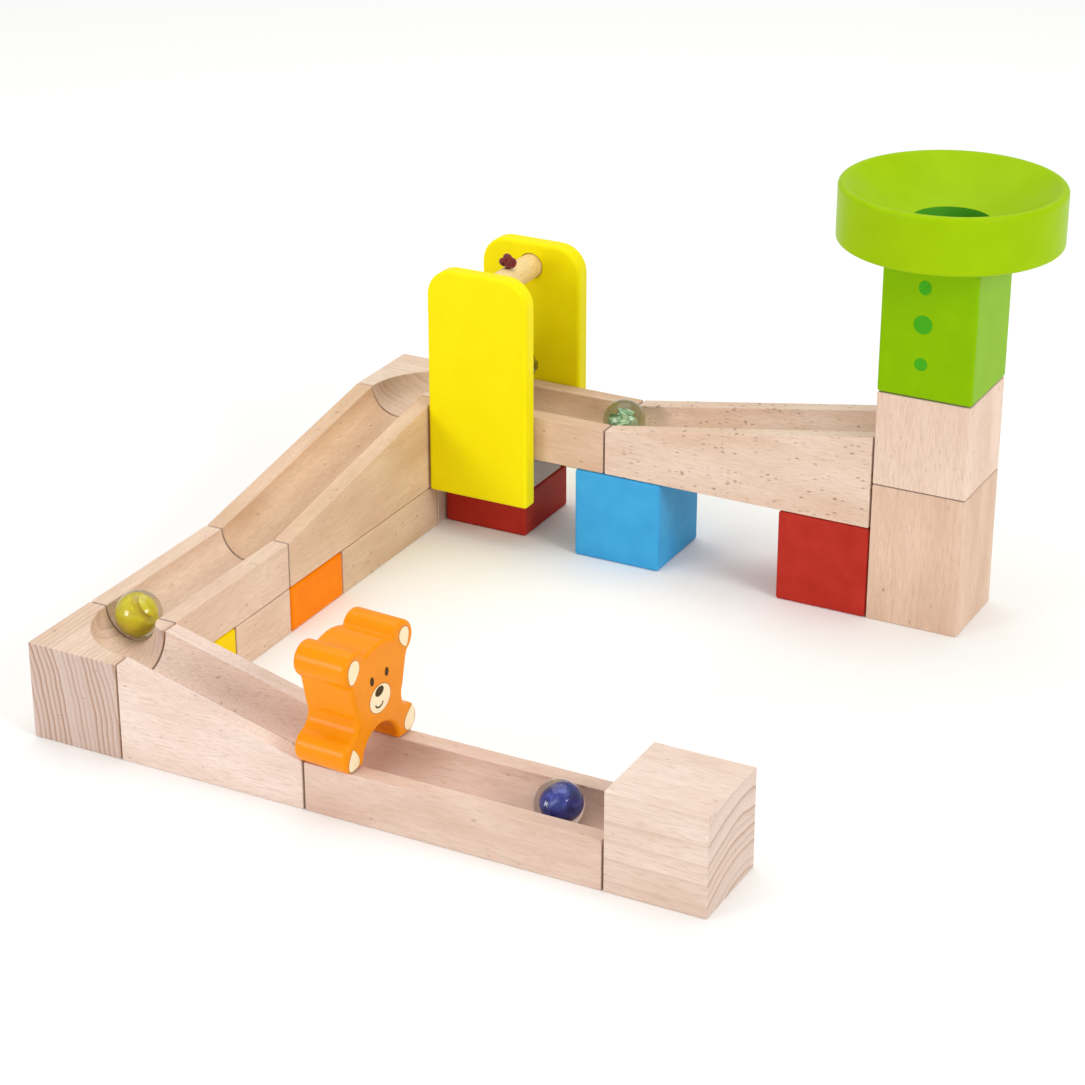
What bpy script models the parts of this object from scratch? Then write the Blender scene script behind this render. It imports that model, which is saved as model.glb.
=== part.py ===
"""Wooden marble run: grooved beech blocks in a U, with a bell gate, a funnel tower and a bear arch.

Metres, +Z up. The origin is under the middle of the whole run, on the surface that it stands on.
Inside the script, places are counted from the outer front corner of the run: +X goes along the front leg
towards the stop block, and +Y goes along the left leg towards the back.
Run it with: blender --background --python part.py
"""

import math

import bmesh
import bpy
from mathutils import Matrix, Vector

# ---- building grid -----------------------------------------------------------------------------------------
GRID = 0.035  # edge of a whole block, and the step of the grid
HALF = GRID / 2  # height of a half block, and the drop of every ramp
FIT = 0.0003  # gap between pieces that touch
WOOD_EDGE = 0.0006  # rounding of a bare block's edges
PAINT_EDGE = 0.0011  # rounding of a painted block's edges

# ---- marbles and their way ---------------------------------------------------------------------------------
MARBLE_RADIUS = 0.008
GROOVE_RADIUS = 0.0105  # half-round groove, its axis on the block's top
BORE_RADIUS = 0.0105  # bore of the turning block and of the funnel block

# ---- lengths of the tracks, in grid steps ------------------------------------------------------------------
FRONT_RAMP_STEPS = 2
FRONT_TRACK_STEPS = 3
LEFT_TRACK_STEPS = 2
LEFT_RAMP_STEPS = 3
GATE_TRACK_STEPS = 2
BACK_RAMP_STEPS = 3

# ---- tower -------------------------------------------------------------------------------------------------
TOWER_BLOCK_HEIGHT = GRID + HALF  # puts the turning block's exit level with the back ramp's top
FUNNEL_BLOCK_HEIGHT = 0.0525
DISH_RADIUS = 0.039
DISH_HEIGHT = 0.0203
DISH_FOOT_ROUND = 0.0012  # rounding under the dish
DISH_LIP_ROUND = 0.0018  # half the thickness of the rounded lip
DISH_FLOOR = 0.0073  # height of the throat's edge above the dish's foot
THROAT_RADIUS = 0.0138

# ---- bell gate ---------------------------------------------------------------------------------------------
PLATE_WIDTH = 0.0415
PLATE_THICKNESS = 0.007
PLATE_CORNER = 0.0105  # rounding of the plate's top corners
PLATE_EDGE = 0.0013
PLATE_START = 0.0004  # from the left leg's side to the plates' edge
GATE_SIDE_GAP = 0.0004  # from each side of the track to the plate next to it
GATE_BASE_SET_BACK = 0.005  # how far the red half block stands behind the gate's middle
AXLE_RADIUS = 0.00475
AXLE_BORE_GAP = 0.0003
AXLE_BORE_DEPTH = 0.004
AXLE_TO_PLATE_TOP = 0.0092
CORD_RADIUS = 0.0008
CORD_HOLE_GAP = 0.0003
CORD_FREE_LENGTH = 0.0125  # from the dowel's underside to the bell's eye
BELL_RADIUS = 0.0104
BELL_WALL = 0.0005
BELL_RIM = 0.0008  # how far the crimped rim stands out
BELL_RIM_HEIGHT = 0.0006
BELL_OVER_TRACK = 0.0005
BELL_SLOT = 0.0014
BELL_SLOT_REACH = 0.0074  # from the bell's middle line to the centre of a slot's end hole
BELL_SLOT_HOLE_RADIUS = 0.0014
PELLET_RADIUS = 0.0028
EYE_RADIUS = 0.0026  # to the middle of the eye's wire
EYE_WIRE_RADIUS = 0.0006
CORD_LOOP_RADIUS = 0.0017  # to the middle of the cord, round the eye's wire
KNOT_RADIUS = 0.0032

# ---- bear arch, measured from its middle line and from the track's top -------------------------------------
BEAR_THICKNESS = 0.0196
BEAR_ARCH_RADIUS = 0.0098
BEAR_EDGE = 0.0012
BEAR_FOOT = (0.0145, 0.0050, 0.0056)  # centre across, centre up, radius
BEAR_WAIST_HALF_WIDTH = 0.0124
BEAR_WAIST_HEIGHT = 0.0155
BEAR_CHEEK = (0.0152, 0.0275)
BEAR_EAR = (0.0131, 0.0345, 0.00595)
BEAR_HEAD_TOP = 0.0385
BEAR_HEAD_RADIUS = 0.01785
BEAR_HEAD_NOTCH = 0.0077  # where the crown of the head meets the ear

# ---- where the loose pieces stand --------------------------------------------------------------------------
BEAR_OVER_RAMP = 0.0005  # how far the back of the bear stands over the joint with the ramp
BEAR_TURN = 3.5  # degrees that the bear stands out of line, its face towards the front
BLUE_CUBE_X = 2.66 * GRID
MARBLE_BLUE_X = 5.33 * GRID
MARBLE_YELLOW_BEHIND_JOINT = 0.0035

# ---- worked out from the above -----------------------------------------------------------------------------
FRONT_RAMP_X = GRID
FRONT_TRACK_X = FRONT_RAMP_X + FRONT_RAMP_STEPS * GRID
STOP_X = FRONT_TRACK_X + FRONT_TRACK_STEPS * GRID
LEFT_TRACK_Y = GRID
LEFT_RAMP_Y = LEFT_TRACK_Y + LEFT_TRACK_STEPS * GRID
BACK_Y = LEFT_RAMP_Y + LEFT_RAMP_STEPS * GRID
GATE_TRACK_X = GRID
BACK_RAMP_X = GATE_TRACK_X + GATE_TRACK_STEPS * GRID
TOWER_X = BACK_RAMP_X + BACK_RAMP_STEPS * GRID
BACK_MIDDLE_Y = BACK_Y + HALF
TOWER_MIDDLE_X = TOWER_X + HALF
FRONT_TOP = HALF
LEFT_TOP = 2 * HALF
GATE_TOP = 3 * HALF
TURNING_Z = TOWER_BLOCK_HEIGHT
FUNNEL_Z = TURNING_Z + GRID
DISH_Z = FUNNEL_Z + FUNNEL_BLOCK_HEIGHT
MARBLE_DROP = GROOVE_RADIUS - MARBLE_RADIUS - FIT  # marble's centre below the top of its groove

GATE_MIDDLE_X = GRID + PLATE_START + PLATE_WIDTH / 2
BELL_Z = GATE_TOP + BELL_OVER_TRACK + BELL_RADIUS
EYE_Z = BELL_Z + BELL_RADIUS + EYE_RADIUS + EYE_WIRE_RADIUS + FIT
AXLE_Z = EYE_Z + EYE_RADIUS + CORD_FREE_LENGTH + AXLE_RADIUS
CORD_MOUTH_Z = AXLE_Z - AXLE_RADIUS
PLATE_TOP = AXLE_Z + AXLE_TO_PLATE_TOP
PLATE_INSIDE = HALF + GATE_SIDE_GAP  # from the gate's middle to each plate's inner face

BEAR_X = FRONT_TRACK_X - BEAR_OVER_RAMP + BEAR_THICKNESS / 2
# From the track's middle line to the corner of the turned bear's foot, where its rounded edge starts.
BEAR_REACH = (
    (BEAR_FOOT[0] + BEAR_FOOT[2]) * math.cos(math.radians(BEAR_TURN))
    + (BEAR_THICKNESS / 2 - BEAR_EDGE) * math.sin(math.radians(BEAR_TURN))
)

RIGHT_SIDE = TOWER_MIDDLE_X + DISH_RADIUS
BACK_SIDE = BACK_MIDDLE_Y + DISH_RADIUS
FRONT_SIDE = min(FIT / 2, HALF - BEAR_REACH)
LEFT_SIDE = FIT / 2
MIDDLE = Vector(((LEFT_SIDE + RIGHT_SIDE) / 2, (FRONT_SIDE + BACK_SIDE) / 2, 0))

# ---- steps round a full turn of each kind of round shape ---------------------------------------------------
ROD_STEPS = 40
BEND_STEPS = 48
BEND_WIRE_STEPS = 32
DISH_STEPS = 48
BELL_STEPS = 24

# ---- finishes ----------------------------------------------------------------------------------------------
# Each finish: sRGB colour, roughness, metallic.
FINISHES = {
    "beech": ("DDBFA4", 0.55, 0.0),
    "yellow_paint": ("F6E01E", 0.35, 0.0),
    "red_paint": ("A52E22", 0.38, 0.0),
    "orange_paint": ("F68A14", 0.35, 0.0),
    "blue_paint": ("45A4DC", 0.38, 0.0),
    "green_paint": ("98C616", 0.32, 0.0),
    "steel": ("B9BBBD", 0.25, 1.0),
    "cord": ("8C2118", 0.85, 0.0),
    "blue_glass": ("1F3FA8", 0.05, 0.0),
    "clear_glass": ("8FB59C", 0.05, 0.0),
    "yellow_glass": ("B9C22A", 0.05, 0.0),
}


# ---- scene, materials and small tools ----------------------------------------------------------------------
def clear_scene():
    for old in list(bpy.data.objects):
        bpy.data.objects.remove(old, do_unlink=True)


def new_collection(name):
    collection = bpy.data.collections.new(name)
    bpy.context.scene.collection.children.link(collection)
    return collection


def linear(hex_colour):
    """An sRGB hex colour as linear RGBA."""
    parts = [int(hex_colour[i : i + 2], 16) / 255 for i in (0, 2, 4)]
    return [c / 12.92 if c <= 0.04045 else ((c + 0.055) / 1.055) ** 2.4 for c in parts] + [1.0]


def finish(obj, name):
    """Gives the piece a material of its own."""
    colour, roughness, metallic = FINISHES[name]
    material = bpy.data.materials.new(f"{obj.name}_{name}")
    material.use_nodes = True
    shader = material.node_tree.nodes["Principled BSDF"]
    shader.inputs["Base Color"].default_value = linear(colour)
    shader.inputs["Roughness"].default_value = roughness
    shader.inputs["Metallic"].default_value = metallic
    if name.endswith("glass"):
        shader.inputs["Transmission Weight"].default_value = 1.0
    material.diffuse_color = linear(colour)
    obj.data.materials.append(material)


def empty(name, place, parent=None):
    obj = bpy.data.objects.new(name, None)
    obj.location = place
    obj.parent = parent
    PARTS.objects.link(obj)
    return obj


def piece(name, mesh, place, material, parent=None):
    """A named piece of the run. The place is in the run's own coordinates, the mesh is round that place."""
    obj = bpy.data.objects.new(name, mesh)
    mesh.name = name
    obj.parent = parent or RUN
    obj.location = Vector(place) - (parent.location if parent else Vector())
    PARTS.objects.link(obj)
    finish(obj, material)
    return obj


def cutter(name, mesh, place):
    obj = bpy.data.objects.new(name, mesh)
    obj.parent = RUN
    obj.location = place
    obj.hide_render = True
    obj.display_type = "WIRE"
    CUTTERS.objects.link(obj)
    return obj


def cut(obj, *tools):
    """Cuts each tool out of the piece."""
    for tool in tools:
        boolean = obj.modifiers.new(f"cut {tool.name}", "BOOLEAN")
        boolean.operation = "DIFFERENCE"
        boolean.object = tool


def join(obj, *others):
    """Joins helper shapes to the piece."""
    for other in others:
        boolean = obj.modifiers.new(f"join {other.name}", "BOOLEAN")
        boolean.operation = "UNION"
        boolean.object = other


def round_edges(obj, width, segments=2):
    bevel = obj.modifiers.new("rounded edges", "BEVEL")
    bevel.width = width
    bevel.segments = segments
    bevel.limit_method = "ANGLE"
    bevel.angle_limit = math.radians(40)


def smooth(obj, angle=35):
    obj.data.shade_smooth()
    obj.data.set_sharp_from_angle(angle=math.radians(angle))


def mesh_from(build):
    """A mesh made by a function that fills a bmesh."""
    shape = bmesh.new()
    build(shape)
    mesh = bpy.data.meshes.new("shape")
    shape.to_mesh(mesh)
    shape.free()
    return mesh


def box_mesh(size):
    def build(shape):
        bmesh.ops.create_cube(shape, size=1.0, matrix=Matrix.Diagonal((*size, 1.0)))

    return mesh_from(build)


def rod_mesh(radius, length, axis="Z", steps=ROD_STEPS):
    """A cylinder centred on its own origin, along X, Y or Z."""
    turn = {
        "X": Matrix.Rotation(math.pi / 2, 4, "Y"),
        "Y": Matrix.Rotation(math.pi / 2, 4, "X"),
        "Z": Matrix.Identity(4),
    }[axis]

    def build(shape):
        bmesh.ops.create_cone(
            shape, cap_ends=True, segments=steps, radius1=radius, radius2=radius, depth=length, matrix=turn
        )

    return mesh_from(build)


def ball_mesh(radius, segments=20, rings=12):
    def build(shape):
        bmesh.ops.create_uvsphere(shape, u_segments=segments, v_segments=rings, radius=radius)

    return mesh_from(build)


def turned(name, profile, place, material, steps, parent):
    """A turned piece: the closed profile of (radius, height) points goes down its outer side."""
    mesh = bpy.data.meshes.new(name)
    points = [(radius, 0, height) for radius, height in profile]
    edges = [(i, (i + 1) % len(points)) for i in range(len(points))]
    mesh.from_pydata(points, edges, [])
    obj = piece(name, mesh, place, material, parent)
    screw = obj.modifiers.new("turn", "SCREW")
    screw.angle = math.tau
    screw.steps = steps
    screw.render_steps = steps
    screw.use_merge_vertices = True
    screw.merge_threshold = 1e-6
    return obj


def ring_mesh(ring_radius, wire_radius, axis, ring_steps=16, wire_steps=8):
    """A torus round the given axis, turned from a small circle by spinning it."""
    turn = {
        "X": Matrix.Rotation(math.pi / 2, 4, "Y"),
        "Y": Matrix.Rotation(math.pi / 2, 4, "X"),
        "Z": Matrix.Identity(4),
    }[axis]

    def build(shape):
        place = Matrix.Translation((ring_radius, 0, 0)) @ Matrix.Rotation(math.pi / 2, 4, "X")
        bmesh.ops.create_circle(shape, cap_ends=False, segments=wire_steps, radius=wire_radius, matrix=place)
        bmesh.ops.spin(
            shape,
            geom=shape.verts[:] + shape.edges[:],
            axis=(0, 0, 1),
            cent=(0, 0, 0),
            angle=math.tau,
            steps=ring_steps,
            use_merge=True,
        )
        bmesh.ops.remove_doubles(shape, verts=shape.verts, dist=1e-6)
        bmesh.ops.recalc_face_normals(shape, faces=shape.faces)
        bmesh.ops.transform(shape, matrix=turn, verts=shape.verts)

    return mesh_from(build)


def arc(centre, radius, start, end, steps):
    """Points on a circle from one angle to another, in degrees."""
    angles = [math.radians(start + (end - start) * i / steps) for i in range(steps + 1)]
    return [(centre[0] + radius * math.cos(a), centre[1] + radius * math.sin(a)) for a in angles]


def flat_mesh(outline, thickness):
    """A solid plate cut to a closed outline, lying in XY, with its middle plane at zero."""
    curve = bpy.data.curves.new("outline", "CURVE")
    curve.dimensions = "2D"
    curve.fill_mode = "BOTH"
    curve.extrude = thickness / 2
    spline = curve.splines.new("POLY")
    spline.points.add(len(outline) - 1)
    for point, (x, y) in zip(spline.points, outline):
        point.co = (x, y, 0, 1)
    spline.use_cyclic_u = True
    drawn = bpy.data.objects.new("outline", curve)
    CUTTERS.objects.link(drawn)
    bpy.context.view_layer.update()
    mesh = bpy.data.meshes.new_from_object(drawn.evaluated_get(bpy.context.evaluated_depsgraph_get()))
    bpy.data.objects.remove(drawn)
    bpy.data.curves.remove(curve)
    shape = bmesh.new()
    shape.from_mesh(mesh)
    bmesh.ops.remove_doubles(shape, verts=shape.verts, dist=1e-6)
    bmesh.ops.dissolve_limit(
        shape, angle_limit=math.radians(1), verts=shape.verts, edges=shape.edges, delimit={"NORMAL"}
    )
    bmesh.ops.recalc_face_normals(shape, faces=shape.faces)
    shape.to_mesh(mesh)
    shape.free()
    return mesh


# ---- blocks ------------------------------------------------------------------------------------------------
def block(name, low, size, material):
    """A plain block that fills its place on the grid, less the gap to its neighbours."""
    bulk = Vector(size) - Vector((FIT, FIT, FIT))
    middle = Vector(low) + Vector((FIT / 2, FIT / 2, 0)) + bulk / 2
    obj = piece(name, box_mesh(bulk), middle, material)
    round_edges(obj, WOOD_EDGE if material == "beech" else PAINT_EDGE)
    return obj


def lower_top(obj, axis, side, drop):
    """Makes a ramp of a block: the top edge at one end of it comes down."""
    for vertex in obj.data.vertices:
        if vertex.co.z > 0 and vertex.co[axis] * side > 0:
            vertex.co.z -= drop


def straight_groove(name, obj, axis, high, low):
    """Cuts a half-round groove along X (axis 0) or Y (axis 1), from one point on the top to another."""
    start, end = Vector(high), Vector(low)
    run = end - start
    tool = cutter(name, rod_mesh(GROOVE_RADIUS, run.length + GRID, "XY"[axis]), (start + end) / 2)
    slope = math.asin(run.z / run.length)
    if axis == 0:
        tool.rotation_euler.y = -slope * math.copysign(1, run.x)
    else:
        tool.rotation_euler.x = slope * math.copysign(1, run.y)
    cut(obj, tool)
    smooth(obj)


def corner_groove(name, obj, inner_corner, top):
    """Cuts a quarter-turn groove round the block's inner corner."""
    tool = cutter(name, ring_mesh(HALF, GROOVE_RADIUS, "Z", BEND_STEPS, BEND_WIRE_STEPS), (*inner_corner, top))
    cut(obj, tool)
    smooth(obj)


def track(name, low, steps, axis, material="beech"):
    """A grooved half-height block along X (axis 0) or Y (axis 1)."""
    size = [GRID, GRID, HALF]
    size[axis] = steps * GRID
    obj = block(name, low, size, material)
    start = Vector(low) + Vector((HALF, HALF, HALF - FIT))
    start[axis] = low[axis]
    end = start.copy()
    end[axis] += steps * GRID
    straight_groove(f"{name}_groove", obj, axis, start, end)
    return obj


def ramp(name, low, steps, axis, high_side, material="beech"):
    """A grooved ramp that comes down from a whole block's height to a half block's.

    high_side is -1 where its high end is at the lower coordinate, and 1 where it is at the other end.
    """
    size = [GRID, GRID, GRID]
    size[axis] = steps * GRID
    obj = block(name, low, size, material)
    lower_top(obj, axis, -high_side, HALF)
    ends = []
    for side, height in ((-1, GRID if high_side < 0 else HALF), (1, GRID if high_side > 0 else HALF)):
        end = Vector(low) + Vector((HALF, HALF, height - FIT))
        end[axis] = low[axis] + (steps * GRID if side > 0 else 0)
        ends.append(end)
    straight_groove(f"{name}_groove", obj, axis, *ends)
    return obj


def front_leg():
    corner = block("corner_block_front", (0, 0, 0), (GRID, GRID, GRID), "beech")
    corner_groove("corner_groove_front", corner, (GRID, GRID), GRID - FIT)
    ramp("ramp_front", (FRONT_RAMP_X, 0, 0), FRONT_RAMP_STEPS, 0, high_side=-1)
    track("track_front", (FRONT_TRACK_X, 0, 0), FRONT_TRACK_STEPS, 0)
    block("stop_block", (STOP_X, 0, 0), (GRID, GRID, GRID), "beech")


def left_leg():
    """The left leg stands on half blocks. The last two steps of the ramp share one long block."""
    orange_y = LEFT_RAMP_Y
    long_y = orange_y + GRID
    block("half_block_yellow", (0, LEFT_TRACK_Y, 0), (GRID, GRID, HALF), "yellow_paint")
    second_y = LEFT_TRACK_Y + GRID
    block("half_block_left_front", (0, second_y, 0), (GRID, LEFT_RAMP_Y - second_y, HALF), "beech")
    block("half_block_orange", (0, orange_y, 0), (GRID, GRID, HALF), "orange_paint")
    block("half_block_left_back", (0, long_y, 0), (GRID, BACK_Y - long_y, HALF), "beech")
    block("half_block_corner", (0, BACK_Y, 0), (GRID, GRID, HALF), "beech")
    track("track_left", (0, LEFT_TRACK_Y, HALF), LEFT_TRACK_STEPS, 1)
    ramp("ramp_left", (0, LEFT_RAMP_Y, HALF), LEFT_RAMP_STEPS, 1, high_side=1)
    corner = block("corner_block_back", (0, BACK_Y, HALF), (GRID, GRID, GRID), "beech")
    corner_groove("corner_groove_back", corner, (GRID, BACK_Y), GATE_TOP - FIT)


def back_leg():
    track("gate_track", (GATE_TRACK_X, BACK_Y, GRID), GATE_TRACK_STEPS, 0)
    ramp("ramp_back", (BACK_RAMP_X, BACK_Y, GRID), BACK_RAMP_STEPS, 0, high_side=1)
    block("cube_blue", (BLUE_CUBE_X, BACK_Y, 0), (GRID, GRID, GRID), "blue_paint")
    block("cube_red", (TOWER_X - GRID, BACK_Y, 0), (GRID, GRID, GRID), "red_paint")


# ---- tower -------------------------------------------------------------------------------------------------
def tower():
    block("tower_block", (TOWER_X, BACK_Y, 0), (GRID, GRID, TOWER_BLOCK_HEIGHT), "beech")
    turning = block("turning_block", (TOWER_X, BACK_Y, TURNING_Z), (GRID, GRID, GRID), "beech")
    # The bore bends round the block's top left edge, from the middle of its top to the middle of its side.
    bend = ring_mesh(HALF, BORE_RADIUS, "Y", BEND_STEPS, BEND_WIRE_STEPS)
    cut(turning, cutter("turning_bore", bend, (TOWER_X, BACK_MIDDLE_Y, FUNNEL_Z)))
    smooth(turning)


def funnel():
    lift = empty("funnel_lift", (TOWER_MIDDLE_X, BACK_MIDDLE_Y, FUNNEL_Z), RUN)
    size = (GRID, GRID, FUNNEL_BLOCK_HEIGHT)
    stem = block("funnel_block", (TOWER_X, BACK_Y, FUNNEL_Z), size, "green_paint")
    stem.parent = lift
    stem.location -= lift.location
    bore = rod_mesh(BORE_RADIUS, FUNNEL_BLOCK_HEIGHT + GRID)
    middle = (TOWER_MIDDLE_X, BACK_MIDDLE_Y, FUNNEL_Z + FUNNEL_BLOCK_HEIGHT / 2)
    cut(stem, cutter("funnel_bore", bore, middle))
    smooth(stem)
    place = (TOWER_MIDDLE_X, BACK_MIDDLE_Y, DISH_Z)
    dish = turned("funnel_dish", dish_profile(), place, "green_paint", DISH_STEPS, lift)
    smooth(dish)


def dish_profile():
    """Throat's upper edge, bowl, rounded lip, outer wall, rounded foot, throat's lower edge."""
    lip_centre = (DISH_RADIUS - DISH_LIP_ROUND, DISH_HEIGHT - DISH_LIP_ROUND)
    lip = arc(lip_centre, DISH_LIP_ROUND, 125, 0, 4)
    bowl_steps = 6
    bowl = []
    for i in range(bowl_steps):
        share = i / bowl_steps
        radius = THROAT_RADIUS + (lip[0][0] - THROAT_RADIUS) * share
        bowl.append((radius, DISH_FLOOR + (lip[0][1] - DISH_FLOOR) * share**1.35))
    foot_centre = (DISH_RADIUS - DISH_FOOT_ROUND, DISH_FOOT_ROUND)
    foot = arc(foot_centre, DISH_FOOT_ROUND, 0, -90, 4)
    return bowl + lip + foot + [(THROAT_RADIUS, 0)]


# ---- bell gate ---------------------------------------------------------------------------------------------
def plate_outline():
    """Square at the foot, rounded at the top: the outline in X and Z, from the middle of the plate's foot."""
    half = PLATE_WIDTH / 2
    height = PLATE_TOP - HALF
    shoulder = (half - PLATE_CORNER, height - PLATE_CORNER)
    right = arc(shoulder, PLATE_CORNER, 0, 90, 6)
    left = arc((-shoulder[0], shoulder[1]), PLATE_CORNER, 90, 180, 6)
    return [(-half, 0), (half, 0)] + right + left


def gate_plate(name, side):
    """One upright plate. side is -1 for the front plate and 1 for the back plate."""
    y = BACK_MIDDLE_Y + side * (PLATE_INSIDE + PLATE_THICKNESS / 2)
    mesh = flat_mesh(plate_outline(), PLATE_THICKNESS)
    mesh.transform(Matrix.Rotation(math.pi / 2, 4, "X"))
    obj = piece(name, mesh, (GATE_MIDDLE_X, y, HALF), "yellow_paint")
    round_edges(obj, PLATE_EDGE)
    bore_y = BACK_MIDDLE_Y + side * (PLATE_INSIDE - AXLE_BORE_DEPTH)
    bore_middle = (GATE_MIDDLE_X, bore_y, AXLE_Z)
    bore = cutter(f"{name}_bore", rod_mesh(AXLE_RADIUS + AXLE_BORE_GAP, 4 * AXLE_BORE_DEPTH, "Y"), bore_middle)
    cut(obj, bore)
    smooth(obj)


def gate():
    gate_plate("gate_plate_front", -1)
    gate_plate("gate_plate_back", 1)
    base_size = Vector((GRID - FIT, 2 * (PLATE_INSIDE - FIT), HALF - FIT))
    base_middle = (GRID + HALF, BACK_MIDDLE_Y, HALF + base_size.z / 2)
    round_edges(piece("gate_base", box_mesh(base_size), base_middle, "beech"), WOOD_EDGE)
    block("gate_base_red", (GRID, BACK_Y + GATE_BASE_SET_BACK, 0), (GRID, GRID, HALF), "red_paint")
    gate_axle()


def gate_axle():
    length = 2 * (PLATE_INSIDE + AXLE_BORE_DEPTH - FIT)
    place = (GATE_MIDDLE_X, BACK_MIDDLE_Y, AXLE_Z)
    axle = piece("gate_axle", rod_mesh(AXLE_RADIUS, length, "Y", 32), place, "beech")
    hole = rod_mesh(CORD_RADIUS + CORD_HOLE_GAP, 4 * AXLE_RADIUS, "Z", 16)
    cut(axle, cutter("cord_hole", hole, place))
    smooth(axle)


def cord_knot():
    """The knot on the dowel, with the end of the cord that goes down through the dowel's hole."""
    place = Vector((GATE_MIDDLE_X, BACK_MIDDLE_Y, AXLE_Z + AXLE_RADIUS + FIT + 0.8 * KNOT_RADIUS))
    mesh = ball_mesh(KNOT_RADIUS, 12, 8)
    mesh.transform(Matrix.Diagonal((1, 1, 0.8, 1)))
    knot = piece("cord_knot", mesh, place, "cord")
    # The stub stops above the mouth, where the end of the swinging cord turns.
    bottom = CORD_MOUTH_Z + CORD_RADIUS + FIT
    stub = rod_mesh(CORD_RADIUS, place.z - bottom, "Z", 8)
    middle = (place.x, place.y, (place.z + bottom) / 2)
    join(knot, cutter("knot_stub", stub, middle))
    smooth(knot)


def bell():
    """The bell swings about the lower mouth of the dowel's hole."""
    pivot = empty("bell_pivot", (GATE_MIDDLE_X, BACK_MIDDLE_Y, CORD_MOUTH_Z), RUN)
    middle = Vector((GATE_MIDDLE_X, BACK_MIDDLE_Y, BELL_Z))
    upper = turned("bell_upper_shell", bell_half_profile(), middle, "steel", BELL_STEPS, pivot)
    smooth(upper)
    lower_profile = [(radius, -height) for radius, height in reversed(bell_half_profile())]
    lower = turned("bell_lower_shell", lower_profile, middle, "steel", BELL_STEPS, pivot)
    cut(lower, *bell_slots(middle))
    smooth(lower)
    eye_place = (middle.x, middle.y, EYE_Z)
    eye = piece("bell_eye", ring_mesh(EYE_RADIUS, EYE_WIRE_RADIUS, "Y"), eye_place, "steel", pivot)
    smooth(eye)
    bell_cord(pivot, middle)
    # The pellet's origin is in the bell's middle, which it rolls round.
    pellet_drop = BELL_RADIUS - BELL_WALL - PELLET_RADIUS - FIT
    ball = ball_mesh(PELLET_RADIUS, 12, 8)
    ball.transform(Matrix.Translation((0, 0, -pellet_drop)))
    smooth(piece("bell_pellet", ball, middle, "steel", pivot))


def bell_half_profile():
    """The upper half: dome outside, crimped rim, dome inside. A small hole at the top keeps it open."""
    gap = FIT / 2
    top_hole = 0.0006
    inner = BELL_RADIUS - BELL_WALL
    rim = BELL_RADIUS + BELL_RIM
    outer_top = math.degrees(math.acos(top_hole / BELL_RADIUS))
    outer_low = math.degrees(math.asin((BELL_RIM_HEIGHT + gap) / BELL_RADIUS))
    inner_low = math.degrees(math.asin(gap / inner))
    inner_top = math.degrees(math.acos(top_hole / inner))
    outside = arc((0, 0), BELL_RADIUS, outer_top, outer_low, 6)
    inside = arc((0, 0), inner, inner_low, inner_top, 6)
    return outside + [(rim, BELL_RIM_HEIGHT + gap), (rim, gap)] + inside


def bell_slots(middle):
    """Two crossed slots under the bell, each with a round hole at both ends."""
    tools = []
    for axis in (0, 1):
        size = [BELL_SLOT, BELL_SLOT, BELL_RADIUS]
        size[axis] = 2 * BELL_SLOT_REACH
        place = middle - Vector((0, 0, BELL_RADIUS))
        tools.append(cutter(f"bell_slot_{'xy'[axis]}", box_mesh(size), place))
        for side in (-1, 1):
            end = middle - Vector((0, 0, BELL_RADIUS))
            end[axis] += side * BELL_SLOT_REACH
            hole = rod_mesh(BELL_SLOT_HOLE_RADIUS, 1.4 * BELL_RADIUS, "Z", 10)
            tools.append(cutter(f"bell_slot_{'xy'[axis]}_end_{'ab'[side > 0]}", hole, end))
    return tools


def bell_cord(pivot, middle):
    """The cord from the dowel's underside down to a loop round the eye's wire."""
    loop_z = EYE_Z + EYE_RADIUS
    loop = ring_mesh(CORD_LOOP_RADIUS, CORD_RADIUS, "X")
    cord = piece("bell_cord", loop, (middle.x, middle.y, loop_z), "cord", pivot)
    top = CORD_MOUTH_Z - FIT
    bottom = loop_z + CORD_LOOP_RADIUS - CORD_RADIUS / 2
    straight = rod_mesh(CORD_RADIUS, top - bottom, "Z", 8)
    join(cord, cutter("cord_straight", straight, (middle.x, middle.y, (top + bottom) / 2)))
    smooth(cord)


# ---- bear arch ---------------------------------------------------------------------------------------------
def bear_half_outline():
    """One side of the bear, from its foot's inner edge up to the middle of its head."""
    foot_y, foot_z, foot_r = BEAR_FOOT
    ear_y, ear_z, ear_r = BEAR_EAR
    sole_angle = -math.degrees(math.asin(foot_z / foot_r))
    # The waist is a hollow that meets the foot's round smoothly and is tangent to the waist's half width.
    reach = BEAR_WAIST_HALF_WIDTH - foot_y
    rise = BEAR_WAIST_HEIGHT - foot_z
    waist_r = (reach**2 + rise**2 - foot_r**2) / (2 * (foot_r - reach))
    waist = (BEAR_WAIST_HALF_WIDTH + waist_r, BEAR_WAIST_HEIGHT)
    meet = math.degrees(math.atan2(rise, waist[0] - foot_y))
    head_centre = (0, BEAR_HEAD_TOP - BEAR_HEAD_RADIUS)
    crown = math.degrees(math.acos(BEAR_HEAD_NOTCH / BEAR_HEAD_RADIUS))
    sole = [(BEAR_ARCH_RADIUS, 0)]
    foot = arc((foot_y, foot_z), foot_r, sole_angle, meet, 6)
    hollow = arc(waist, waist_r, 180 + meet, 150, 4)[1:]
    ear = arc((ear_y, ear_z), ear_r, -62, 143, 8)
    head = arc(head_centre, BEAR_HEAD_RADIUS, crown, 90, 3)
    return sole + foot + hollow + [BEAR_CHEEK] + ear + head


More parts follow.
